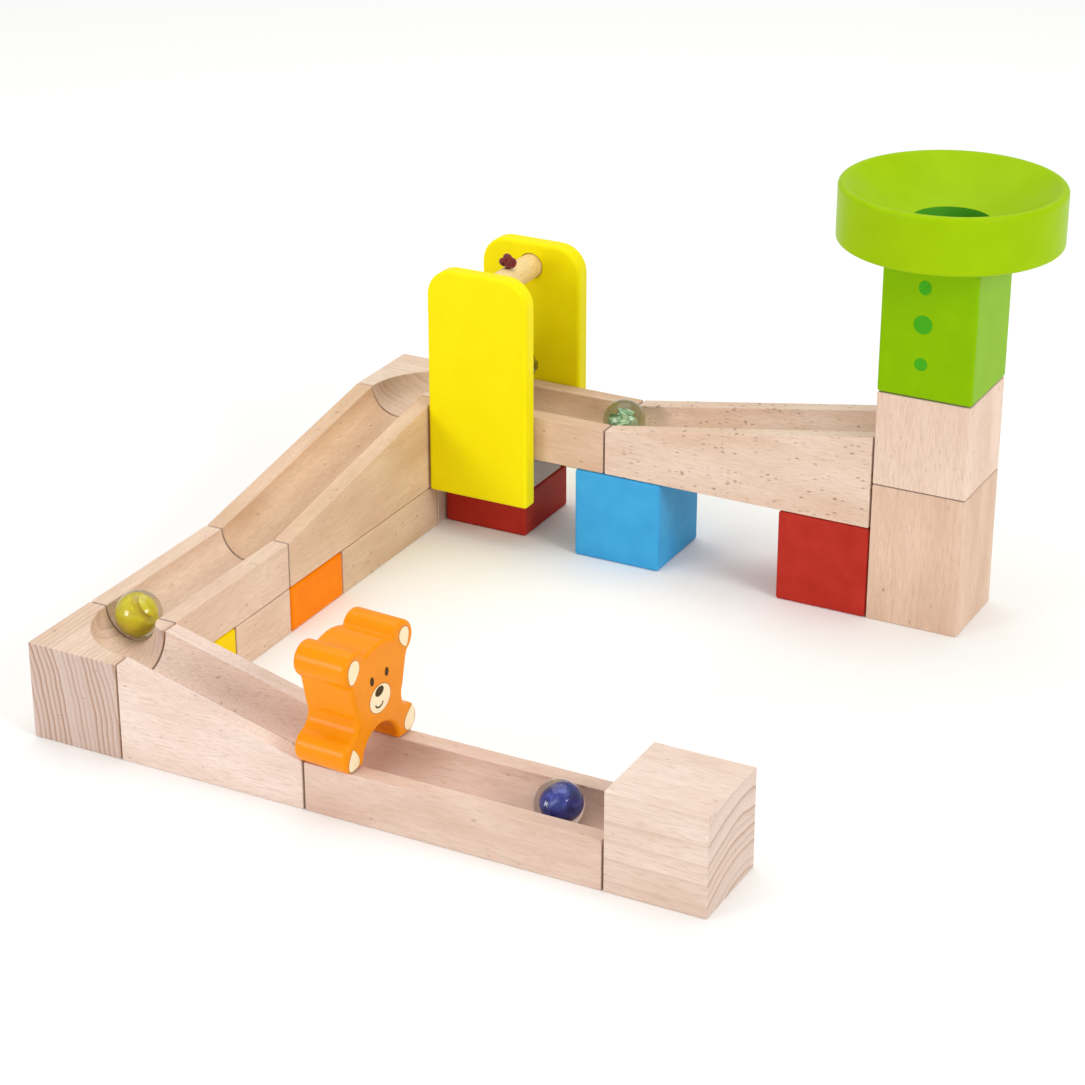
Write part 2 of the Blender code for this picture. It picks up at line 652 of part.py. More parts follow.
def bear_arch():
    """The outline is in Y and Z, and the bear looks along +X."""
    half = bear_half_outline()
    arch = arc((0, 0), BEAR_ARCH_RADIUS, 180, 0, 14)[1:-1]
    outline = half + [(-y, z) for y, z in reversed(half[:-1])] + arch
    mesh = flat_mesh(outline, BEAR_THICKNESS)
    stand_up = Matrix(((0, 0, 1, 0), (1, 0, 0, 0), (0, 1, 0, 0), (0, 0, 0, 1)))
    mesh.transform(stand_up)
    mesh.transform(Matrix.Rotation(math.radians(-BEAR_TURN), 4, "Z"))
    bear = piece("bear_arch", mesh, (BEAR_X, HALF, FRONT_TOP), "orange_paint")
    round_edges(bear, BEAR_EDGE)
    smooth(bear)


# ---- marbles -----------------------------------------------------------------------------------------------
def marbles():
    sunk = -FIT - MARBLE_DROP
    blue = (MARBLE_BLUE_X, HALF, FRONT_TOP + sunk)
    smooth(piece("marble_blue", ball_mesh(MARBLE_RADIUS), blue, "blue_glass"))
    green = (BACK_RAMP_X, BACK_MIDDLE_Y, GATE_TOP + sunk)
    smooth(piece("marble_green", ball_mesh(MARBLE_RADIUS), green, "clear_glass"))
    # The yellow marble turns round the front corner block's inner corner.
    turn = empty("marble_yellow_turn", (GRID, GRID, LEFT_TOP), RUN)
    yellow = (HALF, LEFT_TRACK_Y + MARBLE_YELLOW_BEHIND_JOINT, LEFT_TOP + sunk)
    smooth(piece("marble_yellow", ball_mesh(MARBLE_RADIUS), yellow, "yellow_glass", turn))


clear_scene()
PARTS = new_collection("marble_run")
CUTTERS = new_collection("cutters")
CUTTERS.hide_render = True
RUN = empty("run", -MIDDLE)
front_leg()
left_leg()
back_leg()
tower()
funnel()
gate()
cord_knot()
bell()
bear_arch()
marbles()
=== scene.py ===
"""Looks of a wooden marble run: bare and painted beech blocks, a bell gate, a funnel, a bear and marbles.

Metres, +Z up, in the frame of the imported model. A piece takes its place from the CAD node it stands for.
"""

import math

import bmesh
import bpy
from mathutils import Euler, Matrix, Vector


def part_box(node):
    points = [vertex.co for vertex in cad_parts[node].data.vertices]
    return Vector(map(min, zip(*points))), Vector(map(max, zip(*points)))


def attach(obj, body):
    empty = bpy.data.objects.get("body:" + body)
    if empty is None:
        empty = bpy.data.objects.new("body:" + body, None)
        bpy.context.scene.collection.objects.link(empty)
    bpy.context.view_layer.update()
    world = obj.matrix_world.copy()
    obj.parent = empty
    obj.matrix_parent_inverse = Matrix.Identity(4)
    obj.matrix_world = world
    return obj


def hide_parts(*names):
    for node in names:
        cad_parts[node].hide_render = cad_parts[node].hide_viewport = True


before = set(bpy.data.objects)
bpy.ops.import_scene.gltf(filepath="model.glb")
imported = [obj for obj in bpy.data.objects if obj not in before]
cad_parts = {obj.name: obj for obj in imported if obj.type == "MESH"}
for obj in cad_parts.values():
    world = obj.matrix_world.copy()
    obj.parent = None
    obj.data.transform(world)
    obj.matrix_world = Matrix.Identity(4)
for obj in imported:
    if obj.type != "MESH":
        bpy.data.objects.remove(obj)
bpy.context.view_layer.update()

# ---- sizes shared with the CAD model -------------------------------------------------------------
GRID = 0.035
HALF = GRID / 2
FIT = 0.0003
GROOVE_RADIUS = 0.0105
MARBLE_RADIUS = 0.008
DISH_LIP_ROUND = 0.0018
DISH_FOOT_ROUND = 0.0012
DISH_FLOOR = 0.0073
THROAT_RADIUS = 0.0138
PLATE_CORNER = 0.0105
AXLE_BORE_GAP = 0.0003
AXLE_BORE_DEPTH = 0.004
CORD_RADIUS = 0.0008
CORD_HOLE_RADIUS = 0.00145  # wide enough for the cord to lean out of it as the bell swings
BELL_WALL = 0.0005
BELL_RIM = 0.0008
BELL_SLOT = 0.0014
BELL_SLOT_REACH = 0.0074
BELL_SLOT_HOLE_RADIUS = 0.0014
EYE_WIRE_RADIUS = 0.0006
CORD_LOOP_RADIUS = 0.0017
CORD_WHIPPING_RADIUS = 0.0003
CORD_WHIPPING_TURNS = 4
CORD_WHIPPING_PITCH = 0.0005
BEAR_THICKNESS = 0.0196
BEAR_TURN = 3.5  # degrees that the bear stands out of line, its face towards the front
BEAR_ARCH_RADIUS = 0.0098
BEAR_FOOT = (0.0145, 0.0050, 0.0056)
BEAR_WAIST = (0.0124, 0.0155)
BEAR_CHEEK = (0.0152, 0.0275)
BEAR_EAR = (0.0131, 0.0345, 0.00595)
BEAR_HEAD_TOP = 0.0385
BEAR_HEAD_RADIUS = 0.01785
BEAR_HEAD_NOTCH = 0.0077
BEAR_RIM_WIDER = 0.0006  # the brown rim of a cream patch, over both of its sides
BEAR_RIM_TALLER = 0.0005

# ---- edges, as the pieces are finished -----------------------------------------------------------
BARE_EDGE = 0.00045
JOINT_EASE = 0.0002  # what sanding takes off each upright side of a bare block
PAINTED_EDGE = 0.0011
PLATE_EDGE = 0.0014
BEAR_EDGE = 0.0013
# Steps round a groove and along a bend: each is longer than BARE_EDGE, so that the rounding has room.
GROOVE_STEPS = 96
BEND_STEPS = 48
PAINT_FILM = 0.00009  # how far a printed patch stands on the paint below it
AXLE_EDGE = 0.0002

# Materials and small prints are written in mm.
MM_PER_M = 1000
TO_MM = (MM_PER_M, MM_PER_M, MM_PER_M)


# ---- modelling tools -----------------------------------------------------------------------------
def deselect():
    if bpy.context.mode != "OBJECT":
        bpy.ops.object.mode_set(mode="OBJECT")
    bpy.ops.object.select_all(action="DESELECT")


def only(obj):
    """Makes the piece the only selected one."""
    deselect()
    obj.select_set(True)
    bpy.context.view_layer.objects.active = obj
    return obj


def settle(name):
    """Names the primitive that was just added and puts its place into its mesh."""
    obj = bpy.context.object
    bpy.ops.object.transform_apply(location=True, rotation=True, scale=True)
    obj.name = name
    obj.data.name = name
    return only(obj)


def shape(obj, kind, **settings):
    """Adds a modifier with these settings and applies it."""
    only(obj)
    modifier = obj.modifiers.new(kind.lower(), kind)
    for key, value in settings.items():
        setattr(modifier, key, value)
    bpy.ops.object.modifier_apply(modifier=modifier.name)
    return obj


def round_edges(obj, width, segments=3, angle=40):
    return shape(
        obj, "BEVEL", width=width, segments=segments, limit_method="ANGLE",
        angle_limit=math.radians(angle), use_clamp_overlap=False,
    )


def smooth(obj, angle=35):
    """Smooth shading on rounds, with large flat faces kept flat."""
    only(obj)
    bpy.ops.object.shade_smooth_by_angle(angle=math.radians(angle))
    return shape(obj, "WEIGHTED_NORMAL", mode="FACE_AREA", weight=70, keep_sharp=True)


def carve(obj, tool, keep="DIFFERENCE"):
    """Cuts the tool out of the piece, and removes the tool."""
    shape(obj, "BOOLEAN", object=tool, operation=keep, solver="EXACT")
    bpy.data.objects.remove(tool, do_unlink=True)
    return obj


def box(name, low, high):
    deselect()
    low, high = Vector(low), Vector(high)
    bpy.ops.mesh.primitive_cube_add(size=1, location=(low + high) / 2)
    bpy.context.object.scale = high - low
    return settle(name)


def rod(name, start, end, radius, steps=GROOVE_STEPS):
    deselect()
    start, end = Vector(start), Vector(end)
    turn = (end - start).to_track_quat("Z", "Y").to_euler()
    bpy.ops.mesh.primitive_cylinder_add(
        vertices=steps, radius=radius, depth=(end - start).length, location=(start + end) / 2, rotation=turn
    )
    return settle(name)


def ring(name, centre, ring_radius, wire_radius, turn=(0, 0, 0), steps=(128, 64)):
    deselect()
    bpy.ops.mesh.primitive_torus_add(
        location=centre, rotation=turn, major_segments=steps[0], minor_segments=steps[1],
        major_radius=ring_radius, minor_radius=wire_radius,
    )
    return settle(name)


def ball(name, centre, radius, segments=96, rings=48):
    deselect()
    bpy.ops.mesh.primitive_uv_sphere_add(
        segments=segments, ring_count=rings, radius=radius, location=centre
    )
    return settle(name)


def pick(obj, test, what="verts"):
    """Enters edit mode with only those vertices, edges or faces selected that pass the test."""
    only(obj)
    bpy.ops.object.mode_set(mode="EDIT")
    bpy.ops.mesh.select_mode(type={"verts": "VERT", "edges": "EDGE", "faces": "FACE"}[what])
    bpy.ops.mesh.select_all(action="DESELECT")
    mesh = bmesh.from_edit_mesh(obj.data)
    for element in getattr(mesh, what):
        if test(element):
            element.select_set(True)
    mesh.select_flush_mode()
    bmesh.update_edit_mesh(obj.data)


def turned(name, place, profile, steps=128):
    """A turned piece: a ring drawn out along a closed profile of (radius, height) points."""
    deselect()
    place = Vector(place)
    radius, height = profile[0]
    start = place + Vector((0, 0, height))
    bpy.ops.mesh.primitive_circle_add(vertices=steps, radius=radius, location=start)
    obj = settle(name)
    bpy.ops.object.mode_set(mode="EDIT")
    bpy.ops.mesh.select_all(action="SELECT")
    for next_radius, next_height in profile[1:]:
        step = (0, 0, next_height - height)
        bpy.ops.mesh.extrude_edges_move(TRANSFORM_OT_translate={"value": step})
        centre = place + Vector((0, 0, next_height))
        grow = next_radius / radius
        bpy.ops.transform.resize(value=(grow, grow, 1), center_override=centre)
        radius, height = next_radius, next_height
    bpy.ops.mesh.select_mode(type="EDGE")
    bpy.ops.mesh.select_all(action="DESELECT")
    bpy.ops.mesh.select_non_manifold(extend=False)
    bpy.ops.mesh.bridge_edge_loops()
    bpy.ops.mesh.select_all(action="SELECT")
    bpy.ops.mesh.normals_make_consistent(inside=False)
    bpy.ops.object.mode_set(mode="OBJECT")
    return obj


def arc(centre, radius, start, end, steps):
    """Points on a circle from one angle to another, in degrees."""
    angles = [math.radians(start + (end - start) * i / steps) for i in range(steps + 1)]
    return [(centre[0] + radius * math.cos(a), centre[1] + radius * math.sin(a)) for a in angles]


def cut_out(name, outline, back, thickness):
    """A flat piece that faces +X, sawn to an outline in Y and Z. Its back lies at x = back."""
    deselect()
    bpy.ops.mesh.primitive_circle_add(vertices=len(outline), fill_type="NGON")
    obj = settle(name)
    for vertex, (y, z) in zip(obj.data.vertices, outline):
        vertex.co = (back, y, z)
    bpy.ops.object.mode_set(mode="EDIT")
    bpy.ops.mesh.select_all(action="SELECT")
    bpy.ops.mesh.extrude_region_move(TRANSFORM_OT_translate={"value": (thickness, 0, 0)})
    bpy.ops.mesh.select_all(action="SELECT")
    bpy.ops.mesh.normals_make_consistent(inside=False)
    bpy.ops.object.mode_set(mode="OBJECT")
    return obj


def turn_about(obj, place, axis, degrees):
    """Turns a piece's mesh about an upright or level line through the place."""
    turn = Matrix.Rotation(math.radians(degrees), 4, axis)
    obj.data.transform(Matrix.Translation(place) @ turn @ Matrix.Translation(-Vector(place)))
    return obj


def tube(name, points, radius, cyclic=False, sides=4):
    """A cord along the points."""
    deselect()
    curve = bpy.data.curves.new(name, "CURVE")
    curve.dimensions = "3D"
    curve.bevel_depth = radius
    curve.bevel_resolution = sides
    curve.use_fill_caps = not cyclic
    spline = curve.splines.new("POLY")
    spline.points.add(len(points) - 1)
    for point, place in zip(spline.points, points):
        point.co = (*place, 1)
    spline.use_cyclic_u = cyclic
    obj = bpy.data.objects.new(name, curve)
    bpy.context.scene.collection.objects.link(obj)
    only(obj)
    bpy.ops.object.convert(target="MESH")
    bpy.ops.object.mode_set(mode="EDIT")
    bpy.ops.mesh.select_all(action="SELECT")
    bpy.ops.mesh.remove_doubles(threshold=1e-6)
    bpy.ops.mesh.normals_make_consistent(inside=False)
    bpy.ops.object.mode_set(mode="OBJECT")
    bpy.ops.object.shade_smooth()
    return obj


def dress(obj, material, body, slot, *nodes):
    """Gives a finished piece its material and its body, and hides the CAD nodes that it stands for. Its slot
    is not used.
    """
    obj.data.materials.clear()
    obj.data.materials.append(material)
    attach(obj, body)
    if nodes:
        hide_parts(*nodes)
    return obj


def second_paint(obj, material, test):
    """Gives those faces of a dressed piece that pass the test a second material."""
    obj.data.materials.append(material)
    for face in obj.data.polygons:
        if test(face):
            face.material_index = 1


# ---- material tools ------------------------------------------------------------------------------
def linear(hex_colour):
    """An sRGB hex colour as linear RGBA."""
    parts = [int(hex_colour[i : i + 2], 16) / 255 for i in (0, 2, 4)]
    return [c / 12.92 if c <= 0.04045 else ((c + 0.055) / 1.055) ** 2.4 for c in parts] + [1.0]


def add(tree, kind, inputs=None, stops=None, **settings):
    """Adds a node. An input is a value to set or a socket to link from, stops a ramp's (place, colour)."""
    node = tree.nodes.new("ShaderNode" + kind)
    for key, value in settings.items():
        setattr(node, key, value)
    for key, value in (inputs or {}).items():
        if isinstance(value, bpy.types.NodeSocket):
            tree.links.new(value, node.inputs[key])
        else:
            node.inputs[key].default_value = value
    if stops:
        ramp = node.color_ramp.elements
        while len(ramp) < len(stops):
            ramp.new(1.0)
        for element, (place, colour) in zip(ramp, stops):
            element.position = place
            element.color = linear(colour) if isinstance(colour, str) else (colour, colour, colour, 1)
    return node


def new_material(name, **sockets):
    """A material with its own Principled shader, and those sockets set."""
    material = bpy.data.materials.new(name)
    material.use_nodes = True
    tree = material.node_tree
    shader = tree.nodes["Principled BSDF"]
    for key, value in sockets.items():
        shader.inputs[key.replace("_", " ")].default_value = value
    return material, tree, shader


# Turns that bring a block's grain, along X, Y or Z, to the X of the wood's own coordinates.
GRAIN_TURN = {"X": (0, 0, 0), "Y": (0, 0, -math.pi / 2), "Z": (0, math.pi / 2, 0)}


def beech(node, grain, pith, light="EBD2BA", dark="DDBFA5", fleck="A27F66", flecks=0.05, ring_mm=2.4,
          end="D2BBAC", ring_depth=0.5, waver=7, fleck_depth=0.6):
    """Bare steamed beech, planed and sanded: faint growth rings, and the short brown flecks of its rays.

    The rings and rays are solid in the block, so they run as arcs and spokes on its ends. pith is how far
    the tree's middle lies from the block's own middle, across the grain, in mm: the further off, the
    straighter the rings. flecks is the share of the rays that show dark, and waver how far the rings
    wander, in mm. light and dark are the two tones of its sides, end is the tone of its ends.
    """
    material, tree, shader = new_material(f"beech_{node}", Roughness=0.55, IOR=1.45)
    shader.inputs["Specular IOR Level"].default_value = 0.3
    place = add(tree, "TexCoord").outputs
    # Wood coordinates in mm: X along the grain, the pith on the X axis. The shift along the grain differs
    # from block to block, so that no two show the same marks.
    low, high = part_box(node)
    heart = (low + high) / 2 * MM_PER_M
    across_grain = [i for i in range(3) if i != "XYZ".index(grain)]
    for i, distance in zip(across_grain, pith):
        heart[i] += distance
    heart.rotate(Euler(GRAIN_TURN[grain]))
    wood = add(tree, "Mapping", {
        "Vector": place["Object"], "Scale": TO_MM, "Rotation": GRAIN_TURN[grain],
        "Location": (3 * heart[1], -heart[1], -heart[2]),
    }).outputs[0]
    slow = add(tree, "Mapping", {"Vector": wood, "Scale": (0.012, 0.06, 0.06)}).outputs[0]
    wander = add(tree, "TexNoise", {"Vector": slow, "Scale": 1.0, "Detail": 2.0}).outputs["Color"]
    wander = add(tree, "VectorMath", {0: wander, 1: (0.5, 0.5, 0.5)}, operation="SUBTRACT").outputs[0]
    wander = add(tree, "VectorMath", {0: wander, 1: (0, waver, waver)}, operation="MULTIPLY").outputs[0]
    grown = add(tree, "VectorMath", {0: wood, 1: wander}, operation="ADD").outputs[0]
    split = add(tree, "SeparateXYZ", {0: grown}).outputs
    across = add(tree, "CombineXYZ", {1: split[1], 2: split[2]}).outputs[0]
    radius = add(tree, "VectorMath", {0: across}, operation="LENGTH").outputs["Value"]
    angle = add(tree, "Math", {0: split[1], 1: split[2]}, operation="ARCTAN2").outputs[0]
    arc_length = add(tree, "Math", {0: angle, 1: math.hypot(*pith)}, operation="MULTIPLY").outputs[0]
    # Growth rings: pale early wood that darkens slowly and ends in a thin late-wood line.
    ring_count = add(tree, "Math", {0: radius, 1: ring_mm}, operation="DIVIDE").outputs[0]
    ring_share = add(tree, "Math", {0: ring_count}, operation="FRACT").outputs[0]
    early_to_late = [(0.0, 0.35), (0.12, 0.0), (0.55, 0.3), (0.94, 1.0)]
    late = add(tree, "ValToRGB", {0: ring_share}, stops=early_to_late).outputs[0]
    year = add(tree, "Math", {0: ring_count}, operation="FLOOR").outputs[0]
    year_strength = add(tree, "TexWhiteNoise", {"W": year}, noise_dimensions="1D").outputs["Value"]
    late = add(tree, "Math", {0: late, 1: year_strength}, operation="MULTIPLY").outputs[0]
    # Rays: dashes some 2 mm along the grain, 3 mm along the radius and 0.5 mm thick. Only some are dark.
    polar = add(tree, "CombineXYZ", {0: split[0], 1: radius, 2: arc_length}).outputs[0]
    cells = add(tree, "Mapping", {"Vector": polar, "Scale": (1 / 2.6, 1 / 3.2, 1 / 0.75)}).outputs[0]
    ray = add(tree, "TexVoronoi", {"Vector": cells, "Scale": 1.0}).outputs
    chosen = add(tree, "SeparateColor", {0: ray["Color"]}).outputs[0]
    chosen = add(tree, "Math", {0: chosen, 1: 1 - flecks}, operation="GREATER_THAN").outputs[0]
    body = add(tree, "MapRange", {"Value": ray["Distance"], "From Min": 0.42, "From Max": 0.22}).outputs[0]
    patchy = add(tree, "TexNoise", {"Vector": slow, "Scale": 5.0, "Detail": 1.0}).outputs[0]
    patchy = add(tree, "MapRange", {"Value": patchy, "From Min": 0.4, "From Max": 0.62}).outputs[0]
    mark = add(tree, "Math", {0: chosen, 1: body}, operation="MULTIPLY").outputs[0]
    mark = add(tree, "Math", {0: mark, 1: patchy}, operation="MULTIPLY").outputs[0]
    # Pores: fine streaks along the grain, dots on the ends.
    pore_place = add(tree, "Mapping", {"Vector": grown, "Scale": (0.18, 2.8, 2.8)}).outputs[0]
    pores = add(tree, "TexNoise", {
        "Vector": pore_place, "Scale": 1.0, "Detail": 3.0, "Roughness": 0.65,
    }).outputs[0]
    blush_place = add(tree, "Mapping", {"Vector": wood, "Scale": (0.02, 0.08, 0.08)}).outputs[0]
    blush = add(tree, "TexNoise", {"Vector": blush_place, "Scale": 1.0, "Detail": 3.0}).outputs[0]
    # On an end the cut vessels drink the light, so it is greyer and its rings are plainer.
    axis = {"X": (1, 0, 0), "Y": (0, 1, 0), "Z": (0, 0, 1)}[grain]
    facing = add(tree, "VectorMath", {0: place["Normal"], 1: axis}, operation="DOT_PRODUCT")
    facing = add(tree, "Math", {0: facing.outputs["Value"]}, operation="ABSOLUTE").outputs[0]
    on_end = add(tree, "MapRange", {"Value": facing, "From Min": 0.55, "From Max": 0.95}).outputs[0]
    tone = add(tree, "ValToRGB", {0: blush}, stops=[(0.36, light), (0.66, dark)]).outputs[0]
    tone = add(tree, "Mix", {0: on_end, 6: tone, 7: linear(end)}, data_type="RGBA").outputs[2]
    depth = add(tree, "MapRange", {
        "Value": on_end, "To Min": ring_depth * 0.3, "To Max": ring_depth,
    }).outputs[0]
    late = add(tree, "Math", {0: late, 1: depth}, operation="MULTIPLY").outputs[0]
    tone = add(tree, "Mix", {0: late, 6: tone, 7: linear("AE8870")}, data_type="RGBA").outputs[2]
    streak = add(tree, "MapRange", {
        "Value": pores, "From Min": 0.46, "From Max": 0.76, "To Max": 0.6,
    }).outputs[0]
    tone = add(tree, "Mix", {0: streak, 6: tone, 7: linear("BC9A80")}, data_type="RGBA").outputs[2]
    mark_share = add(tree, "Math", {0: mark, 1: fleck_depth}, operation="MULTIPLY").outputs[0]
    tone = add(tree, "Mix", {0: mark_share, 6: tone, 7: linear(fleck)}, data_type="RGBA").outputs[2]
    tree.links.new(tone, shader.inputs["Base Color"])
    dull = add(tree, "MapRange", {
        "Value": pores, "From Min": 0.3, "From Max": 0.7, "To Min": 0.48, "To Max": 0.64,
    }).outputs[0]
    tree.links.new(dull, shader.inputs["Roughness"])
    relief = add(tree, "Math", {0: streak, 1: mark}, operation="ADD").outputs[0]
    bump = add(tree, "Bump", {"Height": relief, "Strength": 0.25, "Distance": 0.0001}, invert=True)
    tree.links.new(bump.outputs[0], shader.inputs["Normal"])
    return material


def painted(name, colour, shade, grain="X", roughness=0.36, shine=0.06, grain_show=1.0):
    """Thin water-based paint, sprayed on sanded beech: satin, with the grain still seen through it."""
    material, tree, shader = new_material(f"paint_{name}", Roughness=roughness, IOR=1.45)
    shader.inputs["Specular IOR Level"].default_value = shine
    place = add(tree, "TexCoord").outputs["Object"]
    wood = add(tree, "Mapping", {
        "Vector": place, "Scale": TO_MM, "Rotation": GRAIN_TURN[grain],
    }).outputs[0]
    cloud = add(tree, "TexNoise", {
        "Vector": wood, "Scale": 0.09, "Detail": 4.0, "Roughness": 0.6,
    }).outputs[0]
    fibre_place = add(tree, "Mapping", {"Vector": wood, "Scale": (0.14, 2.2, 2.2)}).outputs[0]
    fibre = add(tree, "TexNoise", {
        "Vector": fibre_place, "Scale": 1.0, "Detail": 3.0, "Roughness": 0.65,
    }).outputs[0]
    # Speckle of 0.5 mm, where the raised fibres were rubbed.
    speckle = add(tree, "TexNoise", {"Vector": wood, "Scale": 1.9, "Detail": 2.0}).outputs[0]
    mix = add(tree, "MapRange", {"Value": cloud, "From Min": 0.3, "From Max": 0.72}).outputs[0]
    tone = add(tree, "Mix", {0: mix, 6: linear(colour), 7: linear(shade)}, data_type="RGBA").outputs[2]
    seen = add(tree, "MapRange", {
        "Value": fibre, "From Min": 0.5, "From Max": 0.8, "To Max": 0.38 * grain_show,
    }).outputs[0]
    tone = add(tree, "Mix", {0: seen, 6: tone, 7: linear(shade)}, data_type="RGBA").outputs[2]
    tree.links.new(tone, shader.inputs["Base Color"])
    dull = add(tree, "MapRange", {
        "Value": speckle, "From Min": 0.3, "From Max": 0.7,
        "To Min": roughness - 0.04, "To Max": roughness + 0.08,
    }).outputs[0]
    tree.links.new(dull, shader.inputs["Roughness"])
    relief = add(tree, "Math", {0: fibre, 1: speckle}, operation="ADD").outputs[0]
    bump = add(tree, "Bump", {"Height": relief, "Strength": 0.22 * grain_show, "Distance": 0.00012})
    tree.links.new(bump.outputs[0], shader.inputs["Normal"])
    return material


# ---- camera, light and floor ---------------------------------------------------------------------
CAMERA_PLACE = (0.4090, -0.8026, 0.4606)
CAMERA_TILT = 65.25
CAMERA_TURN = 27.7
CAMERA_LENS = 96.4


def camera():
    deselect()
    turn = (math.radians(CAMERA_TILT), 0, math.radians(CAMERA_TURN))
    bpy.ops.object.camera_add(location=CAMERA_PLACE, rotation=turn)
    view = bpy.context.object
    view.name = "camera"
    view.data.lens = CAMERA_LENS
    view.data.sensor_width = 36
    view.data.clip_end = 20
    bpy.context.scene.camera = view


def softbox(name, place, target, width, power):
    deselect()
    aim = (Vector(target) - Vector(place)).to_track_quat("-Z", "Y").to_euler()
    bpy.ops.object.light_add(type="AREA", location=place, rotation=aim)
    lamp = bpy.context.object
    lamp.name = name
    lamp.data.shape = "SQUARE"
    lamp.data.size = width
    lamp.data.energy = power


def studio():
    """A white sweep under a broad overhead light, with a softbox on each side of the camera."""
    scene = bpy.context.scene
    scene.view_settings.view_transform = "Standard"
    world = bpy.data.worlds.new("studio")
    world.use_nodes = True
    world.node_tree.nodes["Background"].inputs["Color"].default_value = (1, 1, 1, 1)
    world.node_tree.nodes["Background"].inputs["Strength"].default_value = 0.6
    scene.world = world
    softbox("overhead", (-0.2, 0.4, 1.7), (0, 0.1, 0), 1.7, 14.5)
    softbox("left_softbox", (-0.8, -1.3, 0.45), (0, 0, 0.05), 0.5, 6.8)
    softbox("right_softbox", (1.5, -0.4, 0.9), (0, 0, 0.03), 0.6, 10.5)
    deselect()
    bpy.ops.mesh.primitive_plane_add(size=12)
    floor = settle("floor")
    material, tree, shader = new_material("matte_paper_sweep", Roughness=0.9, IOR=1.4)
    place = add(tree, "TexCoord").outputs["Object"]
    tooth = add(tree, "TexNoise", {"Vector": place, "Scale": 900.0, "Detail": 2.0}).outputs[0]
    tone = add(tree, "ValToRGB", {0: tooth}, stops=[(0.3, "F9F9F8"), (0.7, "FAFAF9")]).outputs[0]
    tree.links.new(tone, shader.inputs["Base Color"])
    floor.data.materials.append(material)


# ---- bare beech blocks ---------------------------------------------------------------------------
def eased(node):
    """The block's box, with its upright sides sanded back a little."""
    low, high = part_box(node)
    ease = Vector((JOINT_EASE, JOINT_EASE, 0))
    return low + ease, high - ease


def beech_block(node, material):
    obj = round_edges(box(f"{node}_wood", *eased(node)), BARE_EDGE)
    dress(smooth(obj), material, "run", "beech", node)


def track_piece(node, axis, material, low_side=0):
    """A grooved block along X (axis 0) or Y (axis 1). low_side is -1 or 1 where a ramp comes down."""
    low, high = eased(node)
    if low_side:
        low_end = high[axis] if low_side > 0 else low[axis]
        # The CAD box is a little under the block's own top, because its edge is rounded there.
        high.z = math.ceil((high.z + FIT) / HALF - 0.2) * HALF - FIT
    obj = box(f"{node}_wood", low, high)
    start = (low + high) / 2
    start.z = high.z
    end = start.copy()
    start[axis], end[axis] = low[axis], high[axis]
    if low_side:
        pick(obj, lambda v: v.co.z > high.z - FIT and abs(v.co[axis] - low_end) < FIT)
        bpy.ops.transform.translate(value=(0, 0, -HALF))
        bpy.ops.object.mode_set(mode="OBJECT")
        (end if low_side > 0 else start).z -= HALF
    reach = (end - start).normalized() * HALF
    carve(obj, rod("groove_tool", start - reach, end + reach, GROOVE_RADIUS))
    round_edges(obj, BARE_EDGE)
    dress(smooth(obj), material, "run", "beech", node)


def bend_piece(node, centre, axis, material):
    """A block with a bore or groove that turns a quarter round a line through the centre, along Y or Z."""
    obj = box(f"{node}_wood", *eased(node))
    upright = {"Z": (0, 0, 0), "Y": (math.pi / 2, 0, 0)}[axis]
    carve(obj, ring("bend_tool", centre, HALF, GROOVE_RADIUS, upright, (BEND_STEPS, 60)))
    round_edges(obj, BARE_EDGE)
    dress(smooth(obj), material, "run", "beech", node)


def front_leg():
    low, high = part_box("corner_block_front")
    centre = (high.x + FIT / 2, high.y + FIT / 2, high.z)
    corner_wood = beech("corner_block_front", "Y", (-160, -25), light="E9CFB9", dark="DDBFA5", end="D2BDB4",
                        ring_mm=2.0, ring_depth=1.4, waver=2.5)
    bend_piece("corner_block_front", centre, "Z", corner_wood)
    ramp_wood = beech("ramp_front", "X", (60, 18), light="F0DCD0", dark="E8CFC0", fleck="A88678",
                      flecks=0.08)
    track_piece("ramp_front", 0, ramp_wood, 1)
    track_wood = beech("track_front", "X", (40, -95), light="E4CABA", dark="D6B6A4")
    track_piece("track_front", 0, track_wood)
    stop_wood = beech("stop_block", "X", (6, -48), light="ECD7C9", dark="E0C6B6", end="DCC7BA", ring_mm=3.0,
                      ring_depth=0.9, flecks=0.02, waver=3)
    beech_block("stop_block", stop_wood)


def left_leg():
    track_wood = beech("track_left", "Y", (-60, 25), light="E8CDB5", dark="DDBFA6", flecks=0.05)
    track_piece("track_left", 1, track_wood)
    ramp_wood = beech("ramp_left", "Y", (80, 15), light="E4C5A8", dark="D2AF8E", flecks=0.07)
    track_piece("ramp_left", 1, ramp_wood, -1)
    front_half = beech("half_block_left_front", "Y", (30, 70), light="EBCFB8", dark="DDBDA3")
    beech_block("half_block_left_front", front_half)
    back_half = beech("half_block_left_back", "Y", (30, -60), light="DFC4A6", dark="CFAE8C", flecks=0.12,
                      fleck_depth=0.8)
    beech_block("half_block_left_back", back_half)
    beech_block("half_block_corner", beech("half_block_corner", "X", (10, -60)))
    low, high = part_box("corner_block_back")
    centre = (high.x + FIT / 2, low.y - FIT / 2, high.z)
    corner_wood = beech("corner_block_back", "X", (60, 50), light="EFDAC6", dark="E4C9B2", ring_mm=2.6,
                        ring_depth=1.0)
    bend_piece("corner_block_back", centre, "Z", corner_wood)


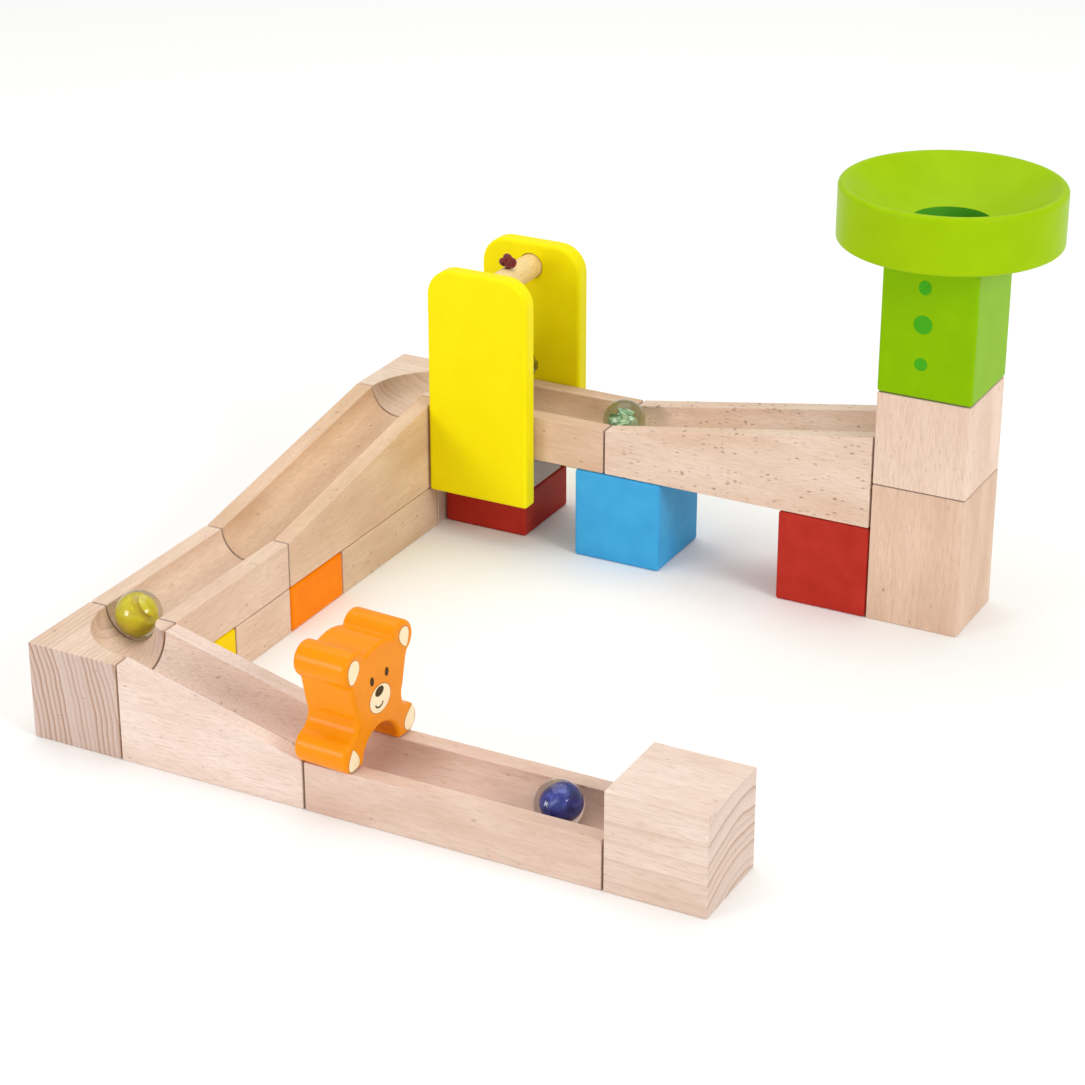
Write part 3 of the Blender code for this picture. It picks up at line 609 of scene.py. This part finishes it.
def back_leg():
    track_piece("gate_track", 0, beech("gate_track", "X", (-40, 55), light="E6C8AE", dark="D6B498"))
    ramp_wood = beech("ramp_back", "X", (110, -10), light="EAD2C0", dark="DFC0A9", fleck="94705A",
                      flecks=0.3, fleck_depth=0.8)
    track_piece("ramp_back", 0, ramp_wood, -1)
    tower_wood = beech("tower_block", "Z", (70, 30), light="E6C8B0", dark="D8B69D", flecks=0.04)
    beech_block("tower_block", tower_wood)
    low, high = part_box("turning_block")
    centre = (low.x - FIT / 2, (low.y + high.y) / 2, high.z + FIT)
    turning_wood = beech("turning_block", "Z", (40, 90), light="EDD3C0", dark="E2C3AE", flecks=0.04)
    bend_piece("turning_block", centre, "Y", turning_wood)


# ---- painted blocks ------------------------------------------------------------------------------
def painted_block(node, material, slot):
    obj = round_edges(box(f"{node}_paint", *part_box(node)), PAINTED_EDGE, 4)
    dress(smooth(obj), material, "run", slot, node)


def painted_blocks():
    yellow = painted("yellow_block", "FADB06", "F2CA00", "Y")
    red = painted("red", "BE362A", "AA2C22", "Z")
    orange = painted("orange_block", "FA8A08", "F27C00", "Y")
    blue = painted("blue", "48ADE2", "3E9FD8", "Z")
    painted_block("half_block_yellow", yellow, "yellow_paint")
    painted_block("half_block_orange", orange, "orange_paint")
    painted_block("cube_red", red, "red_paint")
    painted_block("gate_base_red", red, "red_paint")
    painted_block("cube_blue", blue, "blue_paint")


# ---- funnel --------------------------------------------------------------------------------------
def funnel():
    green = painted("green", "8ABA00", "82B200", "Z", roughness=0.34, grain_show=0.8)
    low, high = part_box("funnel_block")
    stem = box("funnel_block_paint", low, high)
    middle = (low + high) / 2
    reach = Vector((0, 0, high.z - low.z))
    carve(stem, rod("bore_tool", middle - reach, middle + reach, GROOVE_RADIUS))
    dress(smooth(round_edges(stem, PAINTED_EDGE, 4)), green, "funnel", "green_paint", "funnel_block")
    # Painted shade in part: the bore and the throat get a darker green, partly a second paint and partly the
    # shade of the deep hole.
    throat_paint_and_shade = painted("throat_green", "5CAE34", "50A42A", "Z", grain_show=0.5)

    def in_bore(face):
        return (face.center - middle).xy.length < GROOVE_RADIUS + FIT and abs(face.normal.z) < 0.7

    second_paint(stem, throat_paint_and_shade, in_bore)
    dish_low, dish_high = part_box("funnel_dish")
    foot = (dish_low + dish_high) / 2
    foot.z = dish_low.z
    profile = dish_profile((dish_high.x - dish_low.x) / 2, dish_high.z - dish_low.z)
    dish = turned("funnel_dish_paint", foot, profile, 160)
    dish_green = painted("green_dish", "9DC206", "97BC00", "X", roughness=0.3, grain_show=0.5)
    dress(smooth(dish, 40), dish_green, "funnel", "green_paint", "funnel_dish")
    second_paint(dish, throat_paint_and_shade, lambda face: (face.center - foot).xy.length < THROAT_RADIUS + FIT / 10)
    dots(low, high)


def dish_profile(radius, height):
    """Throat's upper edge, bowl, rounded lip, outer wall, rounded foot, throat's lower edge."""
    lip_centre = (radius - DISH_LIP_ROUND, height - DISH_LIP_ROUND)
    lip = arc(lip_centre, DISH_LIP_ROUND, 125, 0, 10)
    bowl_steps = 28
    bowl = []
    for i in range(bowl_steps):
        share = i / bowl_steps
        from_axis = THROAT_RADIUS + (lip[0][0] - THROAT_RADIUS) * share
        bowl.append((from_axis, DISH_FLOOR + (lip[0][1] - DISH_FLOOR) * share**1.35))
    foot_centre = (radius - DISH_FOOT_ROUND, DISH_FOOT_ROUND)
    foot = arc(foot_centre, DISH_FOOT_ROUND, 0, -90, 10)
    return bowl + lip + foot + [(THROAT_RADIUS, 0)]


# Each dot on the funnel's stem: height above the stem's foot, width and height, in metres.
DOTS = ((0.0126, 0.0047, 0.0047), (0.0270, 0.0067, 0.0067), (0.0403, 0.0045, 0.0052))


def dots(low, high):
    """Three printed dots up the middle of the stem's front."""
    material = painted("dot_green", "46A81E", "40A01A", "Z", grain_show=0.5)
    x = low.x + 0.45 * (high.x - low.x)
    for name, (height, wide, tall) in zip(("low", "middle", "high"), DOTS):
        place = Vector((x, low.y, low.z + height))
        deep = Vector((0, PAINT_FILM, 0))
        dot = rod(f"dot_{name}", place - deep, place + deep, 0.5)
        grow = Matrix.Diagonal((wide, 1, tall, 1))
        dot.data.transform(Matrix.Translation(place) @ grow @ Matrix.Translation(-place))
        round_edges(dot, PAINT_FILM / 3, 1)
        dress(smooth(dot, 50), material, "funnel", "green_paint")


# ---- bell gate -----------------------------------------------------------------------------------
def gate_plate(node, material, inner_side):
    low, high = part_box(node)
    middle_x = (low.x + high.x) / 2
    half = (high.x - low.x) / 2
    shoulder = (half - PLATE_CORNER, high.z - PLATE_CORNER)
    right = arc(shoulder, PLATE_CORNER, 0, 90, 20)
    left = arc((-shoulder[0], shoulder[1]), PLATE_CORNER, 90, 180, 20)
    obj = cut_out(f"{node}_paint", [(-half, low.z), (half, low.z)] + right + left, low.y, high.y - low.y)
    # Drawn facing +X about the upright line through the origin, and now turned to face -Y.
    turn_about(obj, (0, 0, 0), "Z", -90)
    obj.data.transform(Matrix.Translation((middle_x, low.y + high.y, 0)))
    round_edges(obj, PLATE_EDGE, 5)
    axle_low, axle_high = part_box("gate_axle")
    centre = (axle_low + axle_high) / 2
    inner_y = high.y if inner_side > 0 else low.y
    deep = Vector((0, inner_side, 0))
    start = Vector((centre.x, inner_y, centre.z)) - deep * AXLE_BORE_DEPTH
    bore_radius = (axle_high.z - axle_low.z) / 2 + AXLE_BORE_GAP
    carve(obj, rod("bore_tool", start, start + deep * 3 * AXLE_BORE_DEPTH, bore_radius))
    dress(smooth(obj), material, "run", "yellow_paint", node)


def gate():
    yellow = painted("yellow_plate", "F7E90E", "F5E40A", "Z", roughness=0.34, grain_show=0.6)
    gate_plate("gate_plate_front", yellow, 1)
    gate_plate("gate_plate_back", yellow, -1)
    beech_block("gate_base", beech("gate_base", "X", (20, 60), light="D9C3A6", dark="C8B092"))
    gate_axle()
    cord_knot()


def gate_axle():
    low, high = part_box("gate_axle")
    middle = (low + high) / 2
    radius = (high.z - low.z) / 2
    start, end = Vector((middle.x, low.y, middle.z)), Vector((middle.x, high.y, middle.z))
    axle = rod("gate_axle_wood", start, end, radius)
    round_edges(axle, AXLE_EDGE, 2, 50)
    reach = Vector((0, 0, 2 * radius))
    carve(axle, rod("cord_hole_tool", middle - reach, middle + reach, CORD_HOLE_RADIUS, 48))
    wood = beech("gate_axle", "Y", (4, 40), light="F8E0A2", dark="EFCB84", end="E0C4A2", flecks=0.02,
                 ring_mm=1.6)
    dress(smooth(axle), wood, "run", "dowel_wood", "gate_axle")


def cord_material(name, colour, shade):
    """Braided cotton cord, dyed: matt and slightly fuzzy, with strands of 0.35 mm, and painted shade in the
    grooves between them.
    """
    material, tree, shader = new_material(f"cotton_cord_{name}", Roughness=0.9, IOR=1.5, Sheen_Weight=0.25)
    place = add(tree, "TexCoord").outputs["Object"]
    strands = add(tree, "Mapping", {
        "Vector": place, "Scale": TO_MM, "Rotation": (0.6, 0.6, 0),
    }).outputs[0]
    weave = add(tree, "TexWave", {
        "Vector": strands, "Scale": 0.9, "Distortion": 1.5, "Detail": 1.0,
    }).outputs["Fac"]
    fuzz = add(tree, "TexNoise", {"Vector": strands, "Scale": 5.0, "Detail": 2.0}).outputs[0]
    # Painted shade: the weave is darker where it is low, in the grooves between the strands.
    tone = add(tree, "ValToRGB", {0: weave}, stops=[(0.15, shade), (0.75, colour)]).outputs[0]
    tree.links.new(tone, shader.inputs["Base Color"])
    relief = add(tree, "Math", {0: weave, 1: fuzz}, operation="ADD").outputs[0]
    bump = add(tree, "Bump", {"Height": relief, "Strength": 0.6, "Distance": 0.00015})
    tree.links.new(bump.outputs[0], shader.inputs["Normal"])
    return material


def cord_knot():
    """A three-lobed knot that stands on the dowel, its tail, and the end that goes down through the hole."""
    low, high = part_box("cord_knot")
    middle = (low + high) / 2
    axle_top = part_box("gate_axle")[1].z
    knot_middle = Vector((middle.x, middle.y, (axle_top + high.z) / 2 - CORD_RADIUS / 4))
    loop_radius = (high.x - low.x) / 2 - CORD_RADIUS
    points = []
    steps = 64
    for i in range(steps):
        turn = math.tau * i / steps
        reach = loop_radius * (0.56 + 0.44 * math.cos(3 * turn - 0.2 * math.sin(turn)))
        around = 2 * turn + math.pi / 2
        points.append(knot_middle + Vector((
            1.1 * reach * math.cos(around), CORD_RADIUS * math.sin(3 * turn), 0.9 * reach * math.sin(around),
        )))
    red = cord_material("red", "8E2016", "5E120C")
    knot = tube("cord_knot_loops", points, 1.15 * CORD_RADIUS, cyclic=True)
    dress(knot, red, "run", "cord", "cord_knot")
    tail_steps = ((0.2, -0.6, -0.2), (1.2, -1.2, -0.9), (2.2, -1.3, -1.5))
    tail = [knot_middle + Vector(step) / MM_PER_M for step in tail_steps]
    dress(tube("cord_knot_tail", tail, CORD_RADIUS), red, "run", "cord")
    down = [Vector((middle.x, middle.y, z)) for z in (knot_middle.z, middle.z, low.z)]
    dress(tube("cord_in_dowel", down, CORD_RADIUS), red, "run", "cord")


# ---- bell ----------------------------------------------------------------------------------------
def bell_metal():
    """Nickel-plated sheet steel, pressed and tumbled: shiny, with fine scuffs and darker patches. Its colour
    is darker and more olive than bare nickel: painted shade and painted reflection of the yellow plates
    round it.
    """
    material, tree, shader = new_material("nickel_plate", Metallic=1.0, Roughness=0.25)
    place = add(tree, "TexCoord").outputs["Object"]
    wide = add(tree, "Mapping", {"Vector": place, "Scale": TO_MM}).outputs[0]
    spots = add(tree, "TexNoise", {"Vector": wide, "Scale": 0.5, "Detail": 4.0}).outputs[0]
    scuff_place = add(tree, "Mapping", {"Vector": wide, "Scale": (0.6, 0.6, 7.0)}).outputs[0]
    scuffs = add(tree, "TexNoise", {"Vector": scuff_place, "Scale": 1.0, "Detail": 3.0}).outputs[0]
    # Painted shade and painted reflection: both tones are dark and olive, as the bell hangs in shade between
    # the yellow plates.
    tone = add(tree, "ValToRGB", {0: spots}, stops=[(0.3, "A8A08A"), (0.7, "857C66")]).outputs[0]
    tree.links.new(tone, shader.inputs["Base Color"])
    dull = add(tree, "MapRange", {
        "Value": scuffs, "From Min": 0.3, "From Max": 0.7, "To Min": 0.16, "To Max": 0.36,
    }).outputs[0]
    tree.links.new(dull, shader.inputs["Roughness"])
    bump = add(tree, "Bump", {"Height": scuffs, "Strength": 0.1, "Distance": 0.0001})
    tree.links.new(bump.outputs[0], shader.inputs["Normal"])
    return material


def bell():
    metal = bell_metal()
    low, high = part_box("bell_upper_shell")
    radius = (high.x - low.x) / 2 - BELL_RIM
    middle = Vector(((low.x + high.x) / 2, (low.y + high.y) / 2, low.z - FIT / 2))
    profile = bell_half(radius)
    upper = turned("bell_upper_metal", middle, profile, 96)
    dress(smooth(upper, 50), metal, "bell", "bell_metal", "bell_upper_shell")
    under = turned("bell_lower_metal", middle, [(r, -z) for r, z in reversed(profile)], 96)
    bell_slots(under, middle, radius)
    dress(smooth(under, 50), metal, "bell", "bell_metal", "bell_lower_shell")
    eye_low, eye_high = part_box("bell_eye")
    eye_middle = (eye_low + eye_high) / 2
    eye_radius = (eye_high.z - eye_low.z) / 2 - EYE_WIRE_RADIUS
    eye = ring("bell_eye_wire", eye_middle, eye_radius, EYE_WIRE_RADIUS, (math.pi / 2, 0, 0), (64, 20))
    shape(eye, "DISPLACE", strength=0.00004, mid_level=0.5)
    dress(smooth(eye), metal, "bell", "bell_metal", "bell_eye")
    pellet_low, pellet_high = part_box("bell_pellet")
    pellet_middle = (pellet_low + pellet_high) / 2
    pellet = ball("bell_pellet_ball", pellet_middle, (pellet_high.z - pellet_low.z) / 2, 32, 16)
    flat = pellet_low.z + 0.0001
    pick(pellet, lambda v: v.co.z < flat)
    bpy.ops.transform.translate(value=(0, 0, 0.00008))
    dress(smooth(pellet), metal, "pellet", "bell_metal", "bell_pellet")
    bell_cord(eye_middle.z + eye_radius)


def bell_half(radius):
    """The upper half: dome outside, crimped rim with a rounded edge, dome inside."""
    gap = FIT / 2
    rim_height = 0.0006
    hole = 0.0006
    inner = radius - BELL_WALL
    outer_top = math.degrees(math.acos(hole / radius))
    outer_foot = math.degrees(math.asin(rim_height / radius))
    inner_foot = math.degrees(math.asin(gap / inner))
    inner_top = math.degrees(math.acos(hole / inner))
    outside = arc((0, 0), radius, outer_top, outer_foot, 20)
    rim = [
        (radius + BELL_RIM * 0.6, rim_height + gap),
        (radius + BELL_RIM, 0.7 * rim_height + gap),
        (radius + BELL_RIM, gap),
    ]
    inside = arc((0, 0), inner, inner_foot, inner_top, 20)
    return outside + rim + inside


def bell_slots(under, middle, radius):
    """Two crossed slots under the bell, each with a round hole at both ends."""
    for across in (Vector((1, 0, 0)), Vector((0, 1, 0))):
        side = Vector((across.y, across.x, 0)) * BELL_SLOT / 2
        reach = across * BELL_SLOT_REACH
        low_z, high_z = middle.z - 1.5 * radius, middle.z - 0.5 * radius
        low = middle - reach - side
        high = middle + reach + side
        low.z, high.z = low_z, high_z
        carve(under, box("slot_tool", low, high))
        for end in (middle - reach, middle + reach):
            foot, top = end.copy(), end.copy()
            foot.z, top.z = low_z, middle.z - 0.3 * radius
            carve(under, rod("slot_end_tool", foot, top, BELL_SLOT_HOLE_RADIUS, 32))


def bell_cord(loop_z):
    """The cord from the dowel down to its loop round the bell's eye, with a whipped neck above the loop."""
    low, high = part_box("bell_cord")
    middle = (low + high) / 2
    red = cord_material("bell", "8E2016", "5E120C")
    top = high.z + CORD_RADIUS
    neck = loop_z + CORD_LOOP_RADIUS
    straight = [Vector((middle.x, middle.y, top + (neck - top) * i / 8)) for i in range(9)]
    loop = []
    for y, z in arc((middle.y, loop_z), CORD_LOOP_RADIUS, 90, 450, 32):
        loop.append(Vector((middle.x, y, z)))
    dress(tube("bell_cord_line", straight + loop, CORD_RADIUS), red, "bell", "cord", "bell_cord")
    whipping = []
    steps = 16
    for i in range(CORD_WHIPPING_TURNS * steps + 1):
        turn = math.tau * i / steps
        height = neck + CORD_RADIUS + CORD_WHIPPING_PITCH * i / steps
        whipping.append(Vector((
            middle.x + CORD_RADIUS * math.cos(turn), middle.y + CORD_RADIUS * math.sin(turn), height,
        )))
    thread = tube("bell_cord_whipping", whipping, CORD_WHIPPING_RADIUS, sides=2)
    dress(thread, red, "bell", "cord")


# ---- bear ----------------------------------------------------------------------------------------
def bear_half():
    """One side of the bear, from its foot's inner edge up to the middle of its head."""
    foot_y, foot_z, foot_r = BEAR_FOOT
    waist_y, waist_z = BEAR_WAIST
    ear_y, ear_z, ear_r = BEAR_EAR
    sole_angle = -math.degrees(math.asin(foot_z / foot_r))
    reach = waist_y - foot_y
    rise = waist_z - foot_z
    waist_r = (reach**2 + rise**2 - foot_r**2) / (2 * (foot_r - reach))
    waist = (waist_y + waist_r, waist_z)
    meet = math.degrees(math.atan2(rise, waist[0] - foot_y))
    crown = math.degrees(math.acos(BEAR_HEAD_NOTCH / BEAR_HEAD_RADIUS))
    foot = arc((foot_y, foot_z), foot_r, sole_angle, meet, 22)
    hollow = arc(waist, waist_r, 180 + meet, 150, 14)[1:]
    ear = arc((ear_y, ear_z), ear_r, -62, 143, 14)
    head = arc((0, BEAR_HEAD_TOP - BEAR_HEAD_RADIUS), BEAR_HEAD_RADIUS, crown, 90, 5)
    return [(BEAR_ARCH_RADIUS, 0)] + foot + hollow + [BEAR_CHEEK] + ear + head


def bear():
    low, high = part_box("bear_arch")
    middle = (low + high) / 2
    half = bear_half()
    arch = arc((0, 0), BEAR_ARCH_RADIUS, 180, 0, 18)[1:-1]
    outline = half + [(-y, z) for y, z in reversed(half[:-1])] + arch
    placed = [(middle.y + y, low.z + z) for y, z in outline]
    orange = painted("bear_orange", "F49408", "EE8C02", "X", roughness=0.22, shine=0.16, grain_show=0.6)
    body = cut_out("bear_body", placed, middle.x - BEAR_THICKNESS / 2, BEAR_THICKNESS)
    round_edges(body, BEAR_EDGE, 5, 50)
    face = Vector((middle.x + BEAR_THICKNESS / 2, middle.y, low.z))
    bear_face(body, face)
    turn_about(body, middle, "Z", -BEAR_TURN)
    dress(smooth(body, 45), orange, "bear", "bear_orange_paint", "bear_arch")


def drop(centre, wide, tall, point=0, lean=0, steps=40):
    """An oval in Y and Z that narrows towards its foot (point > 0) or its head (point < 0).

    lean turns it, in degrees.
    """
    turn = math.radians(lean)
    points = []
    for y, z in arc((0, 0), 1, 0, 360 - 360 / steps, steps - 1):
        narrow = 1 - abs(point) * (0.5 - 0.5 * z * math.copysign(1, point)) ** 1.4
        y, z = y * narrow * wide / 2, z * tall / 2
        points.append((centre[0] + y * math.cos(turn) - z * math.sin(turn),
                       centre[1] + y * math.sin(turn) + z * math.cos(turn)))
    return points


# The bear's printed patches, from its middle line and its soles, in mm: name, centre, width, height,
# pointedness, lean and colour.
BEAR_PATCHES = (
    ("ear_near", (-14.2, 34.2), 6.6, 8.0, 0.4, -16, "cream"),
    ("ear_far", (13.9, 34.7), 6.2, 7.2, 0.55, 14, "cream"),
    ("paw_near", (-15.3, 4.2), 7.2, 7.6, -0.75, 4, "cream"),
    ("paw_far", (16.2, 5.2), 6.6, 8.4, -0.6, -24, "cream"),
    ("muzzle", (-0.2, 19.3), 11.2, 9.4, 0, 0, "cream"),
    ("nose", (-0.6, 22.0), 4.6, 3.2, 0, 8, "dark"),
    ("eye_near", (-4.4, 26.9), 1.8, 3.1, 0, 4, "dark"),
    ("eye_far", (3.7, 27.0), 1.8, 3.0, 0, -4, "dark"),
)


def print_on(body, name, outline, face_x, film, ink):
    """A patch of ink on the bear's face that follows its rounded edge."""
    patch = cut_out(name, outline, face_x - 0.7 * BEAR_EDGE, BEAR_EDGE)
    skin = body.copy()
    skin.data = body.data.copy()
    bpy.context.scene.collection.objects.link(skin)
    shape(skin, "DISPLACE", strength=film, mid_level=0)
    carve(patch, skin, "INTERSECT")
    low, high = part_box("bear_arch")
    turn_about(patch, (low + high) / 2, "Z", -BEAR_TURN)
    dress(smooth(patch, 45), ink, "bear", "bear_orange_paint")


def bear_face(body, face):
    inks = {
        "cream": painted("cream_print", "FBEBC8", "F7E3B8", "Z", roughness=0.42, grain_show=0.4),
        "dark": painted("dark_print", "503C22", "43331C", "Z", roughness=0.4, grain_show=0.4),
        "rim": painted("brown_print", "C07A34", "B06E2C", "Z", roughness=0.42, grain_show=0.4),
    }
    for name, (y, z), wide, tall, point, lean, ink in BEAR_PATCHES:
        centre = (face.y + y / MM_PER_M, face.z + z / MM_PER_M)
        wide, tall = wide / MM_PER_M, tall / MM_PER_M
        film = PAINT_FILM * (2 if ink == "dark" else 1)
        print_on(body, f"bear_{name}", drop(centre, wide, tall, point, lean), face.x, film, inks[ink])
        if ink == "cream":
            rim = drop(centre, wide + BEAR_RIM_WIDER, tall + BEAR_RIM_TALLER, point, lean)
            print_on(body, f"bear_{name}_rim", rim, face.x, PAINT_FILM / 2, inks["rim"])
    smile_centre = (face.y - 0.0008, face.z + 0.0189)
    upper = arc(smile_centre, 0.0021, 205, 335, 20)
    lower = arc((smile_centre[0], smile_centre[1] - 0.00015), 0.0025, 335, 205, 20)
    print_on(body, "bear_smile", upper + lower, face.x, 2 * PAINT_FILM, inks["dark"])


# ---- marbles -------------------------------------------------------------------------------------
def glass(name, colour, roughness=0.0):
    """Soda-lime marble glass, fire-polished: clear to the core, with a few dull scuffs on its skin."""
    material, tree, shader = new_material(
        f"glass_{name}", Base_Color=linear(colour), Roughness=roughness, IOR=1.5, Transmission_Weight=1.0
    )
    place = add(tree, "TexCoord").outputs["Object"]
    wear = add(tree, "TexNoise", {"Vector": place, "Scale": 700.0, "Detail": 4.0}).outputs[0]
    dull = add(tree, "MapRange", {
        "Value": wear, "From Min": 0.55, "From Max": 0.8, "To Min": 0.0, "To Max": 0.12,
    }).outputs[0]
    tree.links.new(dull, shader.inputs["Roughness"])
    return material


def swirl_colour(name, stops, scale, lean=(0, 0, 0)):
    """Opaque coloured glass drawn through the marble, streaked along its length."""
    material, tree, shader = new_material(f"swirl_{name}", Roughness=0.3, IOR=1.5)
    place = add(tree, "TexCoord").outputs["Object"]
    drawn = add(tree, "Mapping", {"Vector": place, "Scale": scale, "Rotation": lean}).outputs[0]
    streaks = add(tree, "TexNoise", {
        "Vector": drawn, "Scale": 1.0, "Detail": 3.0, "Distortion": 0.8,
    }).outputs[0]
    tone = add(tree, "ValToRGB", {0: streaks}, stops=stops).outputs[0]
    tree.links.new(tone, shader.inputs["Base Color"])
    return material


def marble(node, body, slot, glass_material):
    low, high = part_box(node)
    middle = (low + high) / 2
    sphere = ball(f"{node}_glass", middle, MARBLE_RADIUS)
    dress(smooth(sphere, 60), glass_material, body, slot, node)
    return middle


def draw_out(core, heart, way, growth):
    """Draws a core's glass out into a lobe on one side."""
    way = way.normalized()
    pick(core, lambda v: (v.co - heart).normalized().dot(way) > 0.93)
    bpy.ops.transform.resize(
        value=(growth, growth, growth), center_override=heart, use_proportional_edit=True,
        proportional_size=0.6 * MARBLE_RADIUS, proportional_edit_falloff="SMOOTH",
    )
    bpy.ops.object.mode_set(mode="OBJECT")


def vane(name, middle, width, thickness, twist, lean, reach=0.9):
    """A twisted ribbon of coloured glass, rounded off inside the marble at this share of its radius."""
    length = 1.9 * MARBLE_RADIUS
    deselect()
    bpy.ops.mesh.primitive_grid_add(x_subdivisions=24, y_subdivisions=40, size=1)
    bpy.context.object.scale = (width, length, 1)
    obj = settle(name)
    shape(obj, "SOLIDIFY", thickness=thickness, offset=0)
    shape(obj, "SIMPLE_DEFORM", deform_method="TWIST", deform_axis="Y", angle=math.radians(twist))
    obj.data.transform(Matrix.Translation(middle) @ Matrix.Rotation(math.radians(lean[0]), 4, "X")
                       @ Matrix.Rotation(math.radians(lean[1]), 4, "Z"))
    carve(obj, ball("skin_tool", middle, reach * MARBLE_RADIUS, 48, 24), "INTERSECT")
    return smooth(obj, 50)


def marbles():
    """Glass marbles. Glass magnifies what is in it, so a core looks almost as wide as its marble."""
    clear = glass("clear", "F6FAF8")
    middle = marble("marble_blue", "blue_marble", "blue_glass", clear)
    blue_tones = [(0.36, "08166E"), (0.5, "182CA0"), (0.68, "5064D0")]
    blue = swirl_colour("blue", blue_tones, (260, 120, 260), (0.5, 0.4, 0))
    heart = middle + Vector((0.0012, 0.0006, 0.0008))
    core = ball("marble_blue_core", heart, 0.54 * MARBLE_RADIUS, 64, 32)
    draw_out(core, heart, Vector((-0.75, -0.4, -0.5)), 1.28)
    dress(smooth(core, 50), blue, "blue_marble", "blue_glass")
    middle = marble("marble_yellow", "yellow_marble", "yellow_glass", clear)
    lime_tones = [(0.3, "EED400"), (0.55, "FCEA00"), (0.8, "FFF650")]
    lime = swirl_colour("yellow", lime_tones, (120, 320, 320))
    heart = middle + Vector((-0.0005, -0.0002, -0.0002))
    core = ball("marble_yellow_core", heart, 0.60 * MARBLE_RADIUS, 64, 32)
    draw_out(core, heart, Vector((-0.5, -0.2, -0.8)), 1.15)
    slit = vane("clear_band_tool", middle + Vector((0.0010, -0.0012, 0.0022)), 0.0160, 0.0016, 0, (0, 0))
    turn_about(slit, middle, "Y", 52)
    turn_about(slit, middle, "Z", 25)
    carve(core, slit)
    dress(smooth(core, 50), lime, "yellow_marble", "yellow_glass")
    middle = marble("marble_green", "green_marble", "clear_glass", glass("pale_green", "D2E2BE"))
    mist_tones = [(0.4, "4E7A55"), (0.5, "BEE0C8"), (0.62, "F4FFF4")]
    mist = swirl_colour("green", mist_tones, (350, 900, 350))
    for i, (width, twist, lean) in enumerate(((0.0034, 60, (10, 20)), (0.0026, 110, (75, 95)))):
        ribbon = vane(f"marble_green_vane_{i + 1}", middle, width, 0.0006, twist, lean, 0.5)
        dress(ribbon, mist, "green_marble", "clear_glass")


camera()
studio()
front_leg()
left_leg()
back_leg()
painted_blocks()
funnel()
gate()
bell()
bear()
marbles()
